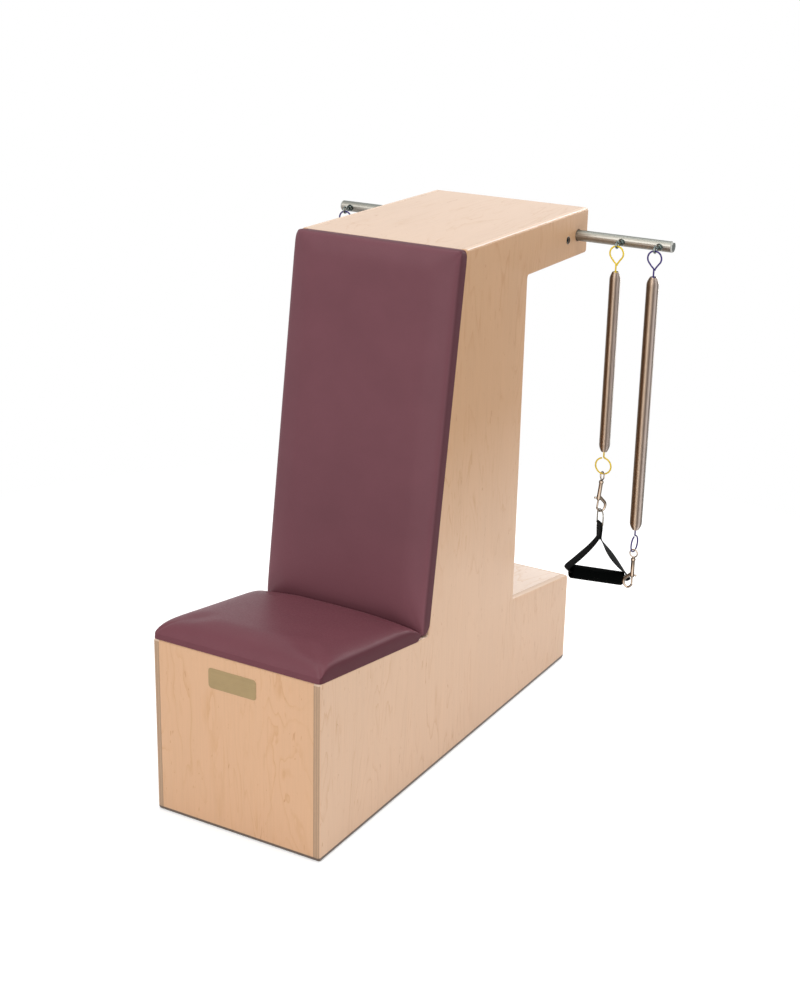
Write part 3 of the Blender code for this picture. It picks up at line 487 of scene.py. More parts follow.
def foam(name, colour):
    made = Shader(name, roughness=0.85, Specular_IOR_Level=0.02)
    pores = made.noise(1100.0, 3.0, 0.6)
    cloud = made.noise(80.0, 3.0)
    made.colour(made.mix(made.ramp(pores, (0.45, 0.0), (0.7, 0.6)), colour, shade(colour, 1.8)))
    made.bump(made.mix(0.3, pores, cloud), 0.35, 0.0003)
    return made.material


VENEER = 0.0025
PLIES = ((0.0, 0.70), (0.06, 0.92), (0.44, 0.96), (0.50, 0.72), (0.56, 1.14), (0.94, 1.10))
EDGE_TONE = srgb(180, 149, 122)
# Painted light on plywood edges that face up, and a painted highlight on the round edges by the top panel
UPWARD_EDGE_PAINTED_LIGHT = srgb(224, 197, 174)
GLINT = srgb(252, 234, 222)
# Painted shade along the bottom of the case's panels
BOTTOM_PAINTED_SHADE = srgb(104, 90, 80)
GRAIN_TINT = (0.84, 0.73, 0.59)
FLECK_TINT = (0.76, 0.62, 0.50)
# Directions that the painted reflection bands on the coils and the bar follow
ACROSS_ROOM = (0.867, 0.498, 0.0)
UP_BAR = (0.0, 0.384, 0.923)
WOOD_FRONT = plywood("wood_front", srgb(219, 176, 140), "Z", "Y")
# The side's darker upper colour is painted shade on the upright
WOOD_SIDE = plywood("wood_side", srgb(226, 190, 160), "Z", "X", srgb(206, 163, 124), GLINT)
WOOD_TOP = plywood("wood_top", srgb(217, 190, 168), "Y", "Z", None, GLINT)
# Painted light: the foot's top panel is a lighter copy of the wood, against the shade of the upright and
# overhang above it
WOOD_FOOT = plywood("wood_foot_top", srgb(248, 230, 216), "Y", "Z", None, GLINT)
WOOD_REAR = plywood("wood_rear", srgb(216, 180, 146), "Z", "Y", None, GLINT)
BOARD = plywood("inner_board", srgb(190, 160, 124), "X", "Z")
# Painted light near the cushions' crease, and painted shade on their sides
CREASE_PAINTED_LIGHT = 1.22
SIDE_PAINTED_SHADE = 0.70
SEAT_VINYL = vinyl("seat_vinyl", srgb(111, 65, 73), ((1.0, 0.0, 0.0), (0.50, 0.0), (0.85, 1.0)),
                   (1, 0.5, (0.27, 0.0), (0.37, 1.0)))
BACK_VINYL = vinyl("back_vinyl", srgb(114, 71, 79), ((0.0, -0.989, 0.146), (0.15, 1.0), (0.65, 0.0)),
                   (2, 0.0, (0.36, 1.0), (0.50, 0.0)))
# Painted reflections: the light and dark bands on the metal parts below
BAR_STEEL = walled("bar_steel", UP_BAR, tones(
    (0.0, 130, 127, 119), (0.22, 142, 136, 127), (0.38, 174, 168, 158), (0.52, 178, 175, 166),
    (0.66, 156, 154, 144), (0.80, 132, 134, 128), (0.93, 130, 132, 126), (1.0, 112, 114, 110)), 0.42, "X")
COIL = walled("coil_steel", ACROSS_ROOM, tones(
    (0.0, 118, 98, 80), (0.10, 102, 82, 64), (0.24, 112, 90, 70), (0.38, 196, 176, 156),
    (0.46, 160, 142, 128), (0.54, 116, 100, 90), (0.64, 176, 162, 152), (0.71, 214, 200, 192),
    (0.79, 126, 114, 104), (0.90, 84, 76, 70), (1.0, 140, 136, 130)), 0.34, "Z")
ZINC = metal("bright_zinc", tones(
    (0.0, 206, 218, 214), (0.07, 150, 162, 158), (0.16, 40, 46, 46), (0.34, 22, 26, 26),
    (0.48, 168, 180, 174), (0.66, 40, 46, 44), (1.0, 20, 22, 22)), 0.20)
DARK_STEEL = metal("black_screw", tones(
    (0.0, 30, 32, 30), (0.3, 20, 20, 20), (0.55, 120, 120, 116), (1.0, 16, 16, 16)), 0.32, level=0.7)
PLATE = metal("plate_brass", tones((0.0, 173, 149, 107), (1.0, 142, 120, 84)), 0.46, "X", level=0.5)
NICKEL = metal("warm_nickel", tones(
    (0.0, 234, 214, 194), (0.08, 214, 192, 170), (0.20, 74, 64, 54), (0.34, 34, 30, 26),
    (0.50, 140, 126, 110), (0.75, 56, 48, 40), (1.0, 20, 18, 14)), 0.22)
RING_METAL = metal("ring_nickel", tones(
    (0.0, 220, 216, 204), (0.08, 150, 144, 132), (0.20, 44, 42, 36), (0.40, 30, 28, 24),
    (0.55, 130, 124, 112), (0.80, 40, 38, 34), (1.0, 20, 18, 16)), 0.22)
YELLOW = paint("yellow_coat", srgb(228, 200, 42), srgb(168, 138, 20))
PURPLE = paint("purple_coat", srgb(54, 38, 112), srgb(26, 16, 62))
CAP = cap("cap_plastic", srgb(74, 80, 76), srgb(196, 196, 190))
STRAP = webbing("black_webbing", srgb(8, 9, 9))
THREAD = plastic("thread", srgb(40, 40, 40), 0.7)
FOAM = foam("black_foam", srgb(4, 5, 5))


# Mesh helpers

def as_mesh(shape, name="shape"):
    mesh = bpy.data.meshes.new(name)
    shape.to_mesh(mesh)
    shape.free()
    return mesh


def added(name, data):
    made = bpy.data.objects.new(name, data)
    bpy.context.collection.objects.link(made)
    return made


def skin(rings, closed=False, uv=None):
    """Skins rings of points; a closed one joins its last ring to the first, an open one is capped."""
    shape = bmesh.new()
    rows = [[shape.verts.new(point) for point in ring] for ring in rings]
    count = len(rows[0])
    pairs = list(zip(rows, rows[1:]))
    if closed:
        pairs.append((rows[-1], rows[0]))
    layer = shape.loops.layers.uv.new("UVMap") if uv else None
    for k, (near, far) in enumerate(pairs):
        for i in range(count):
            j = (i + 1) % count
            face = shape.faces.new((near[i], near[j], far[j], far[i]))
            if uv:
                spots = ((k, i), (k, i + 1), (k + 1, i + 1), (k + 1, i))
                for corner, (step, side) in zip(face.loops, spots):
                    corner[layer].uv = uv(step, side)
    if not closed:
        shape.faces.new(rows[0][::-1])
        shape.faces.new(rows[-1])
    bmesh.ops.recalc_face_normals(shape, faces=shape.faces)
    return as_mesh(shape)


def circle(centre, radius, across, up, sides, start=0.0):
    angles = [start + 2 * pi * i / sides for i in range(sides)]
    return [centre + radius * (cos(a) * across + sin(a) * up) for a in angles]


RIGHT = Vector((1, 0, 0))
REAR = Vector((0, 1, 0))
UP = Vector((0, 0, 1))
# Two directions across an axis, and the axis
AXES = {"X": (REAR, UP, RIGHT), "Y": (UP, RIGHT, REAR), "Z": (RIGHT, REAR, UP)}


def arc(x, z, half_width, half_height, start, sweep, steps):
    """Points of a round or oval arc in the plane of X and Z."""
    angles = [start + sweep * k / steps for k in range(steps + 1)]
    return [Vector((x + half_width * cos(a), 0, z + half_height * sin(a))) for a in angles]


def quarter(radius, steps):
    """How far a rounded edge lies behind its two faces, step by step."""
    angles = [pi / 2 * k / steps for k in range(steps + 1)]
    return [(radius * (1 - cos(a)), radius * (1 - sin(a))) for a in angles]


def clamped(value):
    """The value, kept between zero and one."""
    return min(1.0, max(0.0, value))


def turned(profile, axis, sides, start=0.0):
    across, up, along = AXES[axis]
    return skin([circle(along * height, radius, across, up, sides, start) for radius, height in profile])


def hollow(profile, axis, sides):
    across, up, along = AXES[axis]
    rings = []
    for i in range(sides):
        angle = 2 * pi * i / sides
        out = cos(angle) * across + sin(angle) * up
        rings.append([radius * out + height * along for radius, height in profile])
    return skin(rings, closed=True)


def rod(radius, start, end, axis, sides, turn=0.0):
    return turned([(radius, start), (radius, end)], axis, sides, turn)


def place_at(location, turn=(0, 0, 0)):
    return Matrix.Translation(location) @ Euler(turn).to_matrix().to_4x4()


def moved(mesh, place):
    mesh.transform(place_at(place))
    return mesh


def box(low, high):
    shape = bmesh.new()
    bmesh.ops.create_cube(shape, size=1.0)
    low, high = Vector(low), Vector(high)
    for vert in shape.verts:
        vert.co = (low + high) / 2 + vert.co * (high - low)
    return as_mesh(shape)


def evaluated(holder):
    graph = bpy.context.evaluated_depsgraph_get()
    return bpy.data.meshes.new_from_object(holder.evaluated_get(graph))


def combine(base, others, operation):
    holder = added("base", base)
    tools = [added("tool", other) for other in others]
    for tool in tools:
        step = holder.modifiers.new("step", "BOOLEAN")
        step.operation = operation
        step.solver = "EXACT"
        step.object = tool
    result = evaluated(holder)
    for item in [holder] + tools:
        bpy.data.objects.remove(item, do_unlink=True)
    return result


def join(meshes):
    """One mesh from several that lie apart or merely touch."""
    shape = bmesh.new()
    for mesh in meshes:
        shape.from_mesh(mesh)
    return as_mesh(shape)


def wire(path, radius, sides):
    """Round wire along any smooth path; radius is one value or a function of the share along it."""
    last = len(path) - 1
    rings = []
    across = (path[1] - path[0]).normalized().orthogonal().normalized()
    for i, point in enumerate(path):
        ahead = (path[min(i + 1, last)] - path[max(i - 1, 0)]).normalized()
        across = (across - ahead * across.dot(ahead)).normalized()
        size = radius(i / last) if callable(radius) else radius
        rings.append(circle(point, size, across, ahead.cross(across), sides))
    return skin(rings)


def flat_wire(path, radius, across, sides):
    """Closed wire loop whose path lies in one plane; across is the plane's normal."""
    rings = []
    for i, point in enumerate(path):
        ahead = (path[(i + 1) % len(path)] - path[i - 1]).normalized()
        rings.append(circle(point, radius, across, ahead.cross(across), sides))
    return skin(rings, closed=True)


def smooth_path(points, steps):
    padded = [points[0]] + points + [points[-1]]
    curve = []
    for a, b, c, d in zip(padded, padded[1:], padded[2:], padded[3:]):
        for t in [k / steps for k in range(steps)]:
            curve.append(0.5 * (2 * b + (c - a) * t + (2 * a - 5 * b + 4 * c - d) * t * t
                                + (3 * b - a - 3 * c + d) * t ** 3))
    return curve + [points[-1]]


def piece(name, mesh, material, body, place, side, nodes, slot, angle=35):
    """Adds a finished piece. Side -1 mirrors it in the chair's middle plane, after it is placed."""
    mesh.transform(place)
    if side < 0:
        mesh.transform(Matrix.Scale(-1, 4, RIGHT))
        mesh.flip_normals()
    mesh.materials.clear()
    mesh.materials.append(material)
    mesh.shade_smooth()
    mesh.set_sharp_from_angle(angle=radians(angle))
    made = added(name, mesh)
    if body:
        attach(made, body)
    if nodes:
        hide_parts(*nodes)
    return made


# Plywood case

def outline(corners, radii, inset=0.0, steps=8):
    """Polygon with rounded corners, drawn in by inset; corners run anticlockwise."""
    points = []
    for i, corner in enumerate(corners):
        corner = Vector(corner)
        if radii[i] == 0:
            points.append(corner)
            continue
        back = (Vector(corners[i - 1]) - corner).normalized()
        ahead = (Vector(corners[(i + 1) % len(corners)]) - corner).normalized()
        half = acos(max(-1.0, min(1.0, back.dot(ahead)))) / 2
        convex = back.x * ahead.y - back.y * ahead.x < 0
        centre = corner + (back + ahead).normalized() * (radii[i] / sin(half))
        first = corner + back * (radii[i] / tan(half)) - centre
        sweep = (pi - 2 * half) * (1 if convex else -1)
        radius = radii[i] - inset if convex else radii[i] + inset
        for k in range(steps + 1):
            angle = sweep * k / steps
            spoke = Vector((first.x * cos(angle) - first.y * sin(angle),
                            first.x * sin(angle) + first.y * cos(angle)))
            points.append(centre + spoke.normalized() * radius)
    return points


def seat_line(y):
    return SEAT_FRONT_HEIGHT - SLOPE * y


def back_line(z):
    return SEAT_DEPTH + SLOPE * (z - seat_line(SEAT_DEPTH))


CASE_PLACE = place_at((0, -MIDDLE_Y, 0))
SIDES = (("right", 1), ("left", -1))


def side_panel(word, side):
    low = HEIGHT - OVERHANG_HEIGHT
    corners = [
        (0, 0), (DEPTH, 0), (DEPTH, seat_line(DEPTH)), (UPRIGHT_DEPTH, seat_line(UPRIGHT_DEPTH)),
        (UPRIGHT_DEPTH, low), (DEPTH, low), (DEPTH, HEIGHT), (back_line(HEIGHT), HEIGHT),
        (SEAT_DEPTH, seat_line(SEAT_DEPTH)), (0, SEAT_FRONT_HEIGHT),
    ]
    radii = [CORNER_RADIUS] * len(corners)
    radii[2] = FOOT_CORNER_RADIUS
    radii[3] = INNER_CORNER_RADIUS
    radii[4] = INNER_CORNER_RADIUS
    radii[8] = SEAT_CORNER_RADIUS
    inner = HALF - PLY
    rings = [[Vector((inner, y, z)) for y, z in outline(corners, radii)]]
    for inset, sunk in quarter(EDGE_ROUND, 7):
        rings.append([Vector((HALF - sunk, y, z)) for y, z in outline(corners, radii, inset)])
    far = HALF + PLY
    seat = HALF - SCREW_SUNK - SCREW_HEAD_HEIGHT - GAP
    holes = [
        moved(rod(BAR_RADIUS + GAP, inner - PLY, far, "X", 48), (0, BAR_Y, BAR_Z)),
        moved(rod(BAR_RADIUS + MOUTH_WIDENING, HALF - MOUTH_DEPTH, far, "X", 48), (0, BAR_Y, BAR_Z)),
        moved(rod(SCREW_RADIUS + GAP, inner - PLY, far, "X", 24), (0, SCREW_Y, SCREW_Z)),
        moved(rod(SCREW_HEAD_RADIUS + GAP, seat, far, "X", 32), (0, SCREW_Y, SCREW_Z)),
    ]
    panel = combine(skin(rings), holes, "DIFFERENCE")
    piece("panel_" + word, panel, WOOD_SIDE, "case", CASE_PLACE, side, ["side_panel_" + word],
          "birch_plywood", 40)


def board(name, corners, radii, material):
    """A panel between the sides, with the same outline as its CAD node and finer corners."""
    reach = HALF - PLY - GAP
    points = outline(corners, radii)
    rings = [[Vector((x, y, z)) for y, z in points] for x in (-reach, reach)]
    piece(name + "_fine", skin(rings), material, "case", CASE_PLACE, 1, [name], "birch_plywood", 40)


def case():
    for word, side in SIDES:
        side_panel(word, side)
    rear = DEPTH - PLY
    under = HEIGHT - PLY
    low = HEIGHT - OVERHANG_HEIGHT
    board("front_panel", [(0, 0), (PLY, 0), (PLY, seat_line(PLY)), (0, SEAT_FRONT_HEIGHT)],
          [CORNER_RADIUS, 0, 0, CORNER_RADIUS], WOOD_FRONT)
    board("top_panel",
          [(back_line(under), under), (DEPTH, under), (DEPTH, HEIGHT), (back_line(HEIGHT), HEIGHT)],
          [0, 0, CORNER_RADIUS, CORNER_RADIUS], WOOD_TOP)
    board("overhang_rear_panel", [(rear, low), (DEPTH, low), (DEPTH, under - GAP), (rear, under - GAP)],
          [0, CORNER_RADIUS, 0, 0], WOOD_REAR)
    board("foot_rear_panel", [(rear, 0), (DEPTH, 0), (DEPTH, seat_line(DEPTH)), (rear, seat_line(rear))],
          [0, CORNER_RADIUS, FOOT_CORNER_RADIUS, 0], WOOD_REAR)
    for node, material in (("seat_deck", WOOD_TOP), ("back_deck", WOOD_FRONT), ("foot_top_panel", WOOD_FOOT),
                           ("overhang_bottom_panel", WOOD_TOP), ("upright_rear_panel", WOOD_REAR),
                           ("bar_stretcher", BOARD), ("seat_board", BOARD), ("back_board", BOARD),
                           ("spring_bar", BAR_STEEL), ("bar_end_cap_right", CAP), ("bar_end_cap_left", CAP),
                           ("stretcher_screw_right", DARK_STEEL), ("stretcher_screw_left", DARK_STEEL)):
        dressed(node, material)


def dressed(node, material):
    """Gives a CAD node that stays its finished material."""
    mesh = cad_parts[node].data
    mesh.materials.clear()
    mesh.materials.append(material)


# Inset of the plate's outline, and height as a share of its thickness
PLATE_FORM = ((0.0, 0.5), (0.0003, 0.85), (0.0008, 1.0), (0.0013, 1.0), (0.0016, 0.85), (0.0020, 0.85))
# Reach of a screw's rim past the screw's head, and past the panel
SCREW_RIM = ((-0.0002, -0.0004), (0.0004, 0.0009), (0.0012, 0.0010), (0.0019, GAP / 3), (0.0002, GAP / 3))


def plate():
    """Blank name plate with rounded corners and a turned-down rim."""
    half_x, half_z = PLATE_WIDTH / 2, PLATE_HEIGHT / 2
    corners = [(-half_x, -half_z), (half_x, -half_z), (half_x, half_z), (-half_x, half_z)]
    middle = SEAT_FRONT_HEIGHT - PLATE_BELOW_SEAT
    rings = []
    for inset, out in [(0.0, GAP)] + [(inset, PLATE_THICKNESS * share) for inset, share in PLATE_FORM]:
        rings.append([Vector((PLATE_OFFSET + x, -out, middle + z)) for x, z in
                      outline(corners, [PLATE_CORNER] * 4, inset)])
    piece("plate_fine", skin(rings), PLATE, "case", CASE_PLACE, 1, ["name_plate"], "plate_brass", 25)


def screw_rings():
    """Raised rims round the two screws beside the bar."""
    rim = hollow([(SCREW_HEAD_RADIUS + past, HALF + out) for past, out in SCREW_RIM], "X", 32)
    place = CASE_PLACE @ place_at((0, SCREW_Y, SCREW_Z))
    for word, side in SIDES:
        piece("screw_rim_" + word, rim.copy(), DARK_STEEL, "case", place, side, (), "dark_steel", 40)


# Upholstery

def pad_mesh(width, length, height, shape_of):
    """Pad with full, rolled shoulders, flat underneath: X across, Y along, Z out, underside at zero.

    Its shape says how its top falls to the edges: where each roll starts, and how it falls. Inner is
    the end that lies in the crease.
    """
    def spot(a, b, inset, level):
        """Place from shares across and along, which the corners' rounding pulls in."""
        widest = max(abs(a), abs(b))
        total = abs(a) ** CORNER_POWER + abs(b) ** CORNER_POWER
        pull = widest * total ** (-1 / CORNER_POWER) if widest else 1.0
        return Vector((a * pull * (width / 2 - inset), b * pull * (length / 2 - inset), level))

    def station(i):
        return sin(pi / 2 * (2 * i / PAD_CELLS - 1))

    def roll(share, form):
        """One over the middle, falling to zero at the edge: form holds where it starts and how it falls."""
        start, fall = form
        return (1 - abs(share) ** start) ** fall

    shape = bmesh.new()
    top = {}
    for i in range(PAD_CELLS + 1):
        for j in range(PAD_CELLS + 1):
            a, b = station(i), station(j)
            rise = roll(a, shape_of["across"]) * roll(b, shape_of["near" if b < 0 else "far"])
            level = shape_of["edge"] + (height - shape_of["edge"]) * rise
            top[i, j] = shape.verts.new(spot(a, b, 0.0, level))
    for i in range(PAD_CELLS):
        for j in range(PAD_CELLS):
            shape.faces.new((top[i, j], top[i + 1, j], top[i + 1, j + 1], top[i, j + 1]))
    edge = [(i, 0) for i in range(PAD_CELLS)] + [(PAD_CELLS, j) for j in range(PAD_CELLS)]
    edge += [(PAD_CELLS - i, PAD_CELLS - j) for i, j in edge]
    upper = [top[key] for key in edge]
    for plain, folded in zip(PLAIN_EDGE, FOLDED_EDGE):
        lower = []
        for i, j in edge:
            from_inner = (1 - shape_of["inner"] * station(j)) * length / 2
            share = clamped(from_inner / FOLD_FROM - 1)
            inset = plain[0] + (folded[0] - plain[0]) * share
            level = plain[1] + (folded[1] - plain[1]) * share
            lower.append(shape.verts.new(spot(station(i), station(j), inset, level)))
        for k in range(len(edge)):
            n = (k + 1) % len(edge)
            shape.faces.new((upper[k], lower[k], lower[n], upper[n]))
        upper = lower
    shape.faces.new(upper)
    bmesh.ops.recalc_face_normals(shape, faces=shape.faces)
    return as_mesh(shape, "pad")


def inflated(mesh):
    """Points of a coarser copy, and how far each moves as its cover swells in a short cloth simulation."""
    holder = added("cover", mesh.copy())
    remesh = holder.modifiers.new("remesh", "REMESH")
    remesh.mode = "VOXEL"
    remesh.voxel_size = PAD_VOXEL
    holder.data = evaluated(holder)
    holder.modifiers.clear()
    before = [vert.co.copy() for vert in holder.data.vertices]
    held = holder.vertex_groups.new(name="held")
    for vert in holder.data.vertices:
        if vert.co.z < HELD_BELOW:
            held.add([vert.index], 1.0, "REPLACE")
    cloth = holder.modifiers.new("cloth", "CLOTH")
    for setting, value in CLOTH.items():
        setattr(cloth.settings, setting, value)
    cloth.settings.vertex_group_mass = "held"
    cloth.settings.effector_weights.gravity = 0.0
    cloth.point_cache.frame_start = 1
    cloth.point_cache.frame_end = FRAMES
    scene = bpy.context.scene
    for number in range(1, FRAMES + 1):
        scene.frame_set(number)
    settled = evaluated(holder)
    scene.frame_set(1)
    moves = []
    for vert, old in zip(settled.vertices, before):
        shift = vert.co - old
        moves.append(shift * min(1.0, SWELL / max(shift.length, SWELL)))
    bpy.data.objects.remove(holder, do_unlink=True)
    return before, moves


def swell(mesh):
    """Carries the simulated swelling over to the pad's own, finer skin, evened out over nearby points."""
    places, moves = inflated(mesh)
    tree = KDTree(len(places))
    for index, place in enumerate(places):
        tree.insert(place, index)
    tree.balance()
    crown = max(vert.co.z for vert in mesh.vertices)
    for vert in mesh.vertices:
        share = max(0.0, vert.co.z - HELD_BELOW) / (crown - HELD_BELOW)
        if share == 0:
            continue
        total = Vector()
        weight = 0.0
        for place, index, distance in tree.find_n(vert.co, NEIGHBOURS):
            pull = 1 / (distance + PAD_VOXEL)
            total += moves[index] * pull
            weight += pull
        shift = total * (share / weight)
        vert.co += Vector((shift.x * SIDE_SWELL, shift.y * SIDE_SWELL, shift.z))
    return mesh


def cushion(name, node, length, height, shape_of, place, material, slot):
    mesh = pad_mesh(WIDTH, length, height - SWELL, shape_of)
    swell(mesh)
    made = piece(name, mesh, material, "case", place, 1, [node], slot, 60)
    finer = made.modifiers.new("finer", "SUBSURF")
    finer.levels = 1
    finer.render_levels = 1


SEAT_SHAPE = {"edge": 0.008, "across": (3.7, 0.25), "near": (14.0, 1.28), "far": (9.25, 1.28), "inner": 1}
BACK_SHAPE = {"edge": 0.013, "across": (9.0, 0.30), "near": (26.0, 0.40), "far": (34.0, 0.34), "inner": -1}
# Inset and height of the cover's lower edge, in the crease and folded over the case's round edges
PLAIN_EDGE = ((0.0, 0.006), (0.0, 0.004), (0.0003, 0.002), (0.0010, 0.0008), (0.0018, 0.0002), (0.0030, 0.0))
FOLDED_EDGE = ((0.0, 0.004), (0.0, 0.0), (0.0, -0.0036), (0.0008, -0.0018), (0.0022, -0.0006), (0.0055, 0.0))
CREASE_ROOM = 0.0035
PAD_CELLS = 72
CORNER_POWER = 55
FOLD_FROM = 0.008
HELD_BELOW = 0.006
SWELL = 0.0045
PAD_VOXEL = 0.005
NEIGHBOURS = 80
SIDE_SWELL = 0.35
FRAMES = 20
CLOTH = {"quality": 6, "mass": 0.35, "tension_stiffness": 18, "compression_stiffness": 4,
         "bending_stiffness": 4, "use_pressure": True, "uniform_pressure_force": 4.0}


def upholstery():
    corner = Vector((0, SEAT_DEPTH, seat_line(SEAT_DEPTH)))
    back_length = (HEIGHT - corner.z) / cos(SEAT_TILT) - 2 * GAP
    back_face = PAD_SIDE_HEIGHT + CREASE_ROOM
    seat_length = SEAT_DEPTH / cos(SEAT_TILT) - back_face - GAP
    seat_centre = corner - ALONG_SEAT * (back_face + seat_length / 2) + ALONG_BACK * GAP
    back_centre = corner + ALONG_BACK * (back_length / 2 + GAP) - ALONG_SEAT * GAP
    seat_place = CASE_PLACE @ place_at(seat_centre, (-SEAT_TILT, 0, 0))
    back_place = CASE_PLACE @ place_at(back_centre, (pi / 2 - SEAT_TILT, 0, 0))
    cushion("seat_cover", "seat_cushion", seat_length, SEAT_HEIGHT, SEAT_SHAPE, seat_place, SEAT_VINYL,
            "vinyl_seat")
    cushion("back_cover", "back_cushion", back_length, BACK_HEIGHT, BACK_SHAPE, back_place, BACK_VINYL,
            "vinyl_back")


# Springs

SHANK_PAST_NUT = 0.003
SHANK_CHAMFER = 0.0006
NUT_CHAMFER = 0.0012
CONE_DEPTHS = (0.0012, 0.004, 0.011)
CONE_INSET = 0.0026
INNER_COIL_PITCH = 0.00165
OUTER_COIL_PITCH = 0.0019
COIL_SIDES = 22
COIL_TRACKS = 4
LOOP_TWIST = Vector((0, 0, -0.0045))
POST_FOOT_RADIUS = 0.0032
POST_FOOT_HEIGHT = 0.003
CHAMBER_RADIUS = 0.0035
CHAMBER = COLLAR + 0.0036
# Step out from the barrel's radius, and height
SNAP_WALL = (
    (-0.0006, -BARREL_TOP), (0.0003, -BARREL_TOP - 0.0008), (0.0006, -COLLAR + 0.001),
    (0.0003, -COLLAR - 0.0006), (-0.0003, -COLLAR - 0.002), (-0.0004, -BARREL_BOTTOM + 0.012),
    (0.0, -BARREL_BOTTOM + 0.006), (0.0, -BARREL_BOTTOM + 0.0016), (-0.0005, -BARREL_BOTTOM + 0.0005),
    (-0.0012, -BARREL_BOTTOM),
)
# Radius, and place along the knob from its reach
KNOB_FORM = ((0.0012, -0.0012), (0.0022, -0.0008), (0.0027, 0.0), (0.0027, 0.0006), (0.0019, 0.0011),
             (KNOB_RADIUS, 0.0016))


def eyebolt_mesh():
    """Eye, shank and front nut in one piece, with the washer on the bar."""
    path = circle(Vector((0, -EYE_REACH, 0)), EYE_RADIUS, UP, REAR, 40, 0.1)
    eye = flat_wire(path, EYE_WIRE, RIGHT, 14)
    tail = BAR_RADIUS + 2 * GAP + NUT_HEIGHT + SHANK_PAST_NUT
    shank = turned([(SHANK_RADIUS, EYE_RADIUS - EYE_REACH), (SHANK_RADIUS, tail - SHANK_CHAMFER),
                    (SHANK_RADIUS - SHANK_CHAMFER, tail)], "Y", 20)
    face = -BAR_RADIUS - GAP
    nut = nut_mesh(face - WASHER_HEIGHT - NUT_HEIGHT, face - WASHER_HEIGHT)
    rim = WASHER_DIAMETER / 2
    washer = turned([(rim - 0.0004, face - WASHER_HEIGHT), (rim, face - WASHER_HEIGHT / 2),
                     (rim - 0.0003, face)], "Y", 36)
    return combine(eye, [shank, nut, washer], "UNION")


def nut_mesh(start, end):
    """Hexagon with its corners turned off."""
    wide = NUT_WIDTH / sqrt(3)
    hexagon = rod(wide, start, end, "Y", 6, radians(20))
    cone = turned([(wide * 0.86, start), (wide * 1.02, start + NUT_CHAMFER),
                   (wide * 1.02, end - NUT_CHAMFER), (wide * 0.86, end)], "Y", 36)
    return combine(hexagon, [cone], "INTERSECT")


def coil_size(radius, depth):
    share = clamped(depth / COIL_TAPER)
    return COIL_END_RADIUS + (radius - COIL_END_RADIUS) * sin(pi / 2 * share)


def coil_mesh(length, radius, pitch):
    """Close-wound spring: one unbroken helical ridge from end to end, hollow inside."""
    turns = round(length / pitch) - 1
    pitch = length / (turns + 1)
    shape = bmesh.new()
    rows = []
    for track in range(COIL_TRACKS):
        lift = track / COIL_TRACKS
        dip = pitch * 0.5 * (1 - abs(sin(pi * lift))) * 0.8
        row = []
        for m in range(turns * COIL_SIDES + 1):
            depth = pitch * (m / COIL_SIDES + lift)
            angle = 2 * pi * m / COIL_SIDES
            size = coil_size(radius, min(depth, length - depth)) - dip
            row.append(shape.verts.new((size * cos(angle), size * sin(angle), -depth)))
        rows.append(row)
    for upper, lower in zip(rows, rows[1:]):
        for m in range(turns * COIL_SIDES):
            shape.faces.new((upper[m], lower[m], lower[m + 1], upper[m + 1]))
    for m in range((turns - 1) * COIL_SIDES):
        shape.faces.new((rows[-1][m], rows[0][m + COIL_SIDES], rows[0][m + COIL_SIDES + 1], rows[-1][m + 1]))
    bmesh.ops.recalc_face_normals(shape, faces=shape.faces)
    return as_mesh(shape, "coil")


def loop_mesh(radius, neck, coil_radius):
    """Wire loop in the plane of X and Z: its top at zero, its stem running into the coil's end cone."""
    pinch = min(PINCH, neck / 2 - radius)
    reach = neck - pinch - radius
    gap = acos(radius / reach)
    bow = arc(0, -radius, radius, radius, gap - pi / 2, 2 * pi - 2 * gap, 34)
    bottom = Vector((0, 0, pinch - neck))
    beside = Vector((WIRE * 0.8, WIRE * 1.2, 0))
    free = [bottom + beside + LOOP_TWIST, bottom + beside + Vector((0.0006, 0, -0.0012)),
            bow[0].lerp(bottom, 0.60) + Vector((radius * 0.10, WIRE * 0.8, 0))]
    into = [bow[-1].lerp(bottom, 0.60) - Vector((radius * 0.10, 0, 0)),
            bottom + Vector((-0.0008, 0, -0.0004)), bottom + LOOP_TWIST,
            Vector((0, 0, -neck - STEM * 0.6)), Vector((0, 0, -neck - STEM - 0.006))]
    path = (smooth_path(free, 4)[:-1] if pinch > WIRE else []) + bow + smooth_path(into, 4)
    strand = wire(path, WIRE, 12)
    top = neck + STEM
    cone = [(coil_size(coil_radius, depth) - CONE_INSET, -top - depth) for depth in CONE_DEPTHS]
    return join([strand, turned(cone, "Z", 28)])


def snap_eye_mesh(across_hook):
    low = SNAP_EYE_RADIUS - SNAP_WIRE - WIRE - SNAP_PLAY
    middle = Vector((0, 0, -low))
    flat, normal = (REAR, RIGHT) if across_hook else (RIGHT, REAR)
    eye = flat_wire(circle(middle, SNAP_EYE_RADIUS, UP, flat, 40, 0.1), SNAP_WIRE, normal, 12)
    top = low + SNAP_EYE_RADIUS
    head = -COLLAR - GAP
    post = turned([(POST_FOOT_RADIUS, -COLLAR - POST_FOOT_HEIGHT), (POST_FOOT_RADIUS, head),
                   (SNAP_POST_RADIUS, head),
                   (SNAP_POST_RADIUS, -top - 0.0016), (0.0027, -top - 0.0004), (0.0021, -top + 0.0006)],
                  "Z", 24)
    return combine(eye, [post], "UNION")


def hook_path():
    start = Vector((BARREL_RADIUS * 0.3, 0, -HOOK_START))
    bow = arc(HOOK_OUT, -HOOK_DEPTH, HOOK_HALF_WIDTH, HOOK_HALF_HEIGHT, radians(50), radians(-196), 22)
    ends = [Vector((0, 0, -TIP_DEPTH - HOOK_WIRE * 0.6)), Vector((0, 0, -TIP_DEPTH - GAP))]
    return [start] + bow + ends


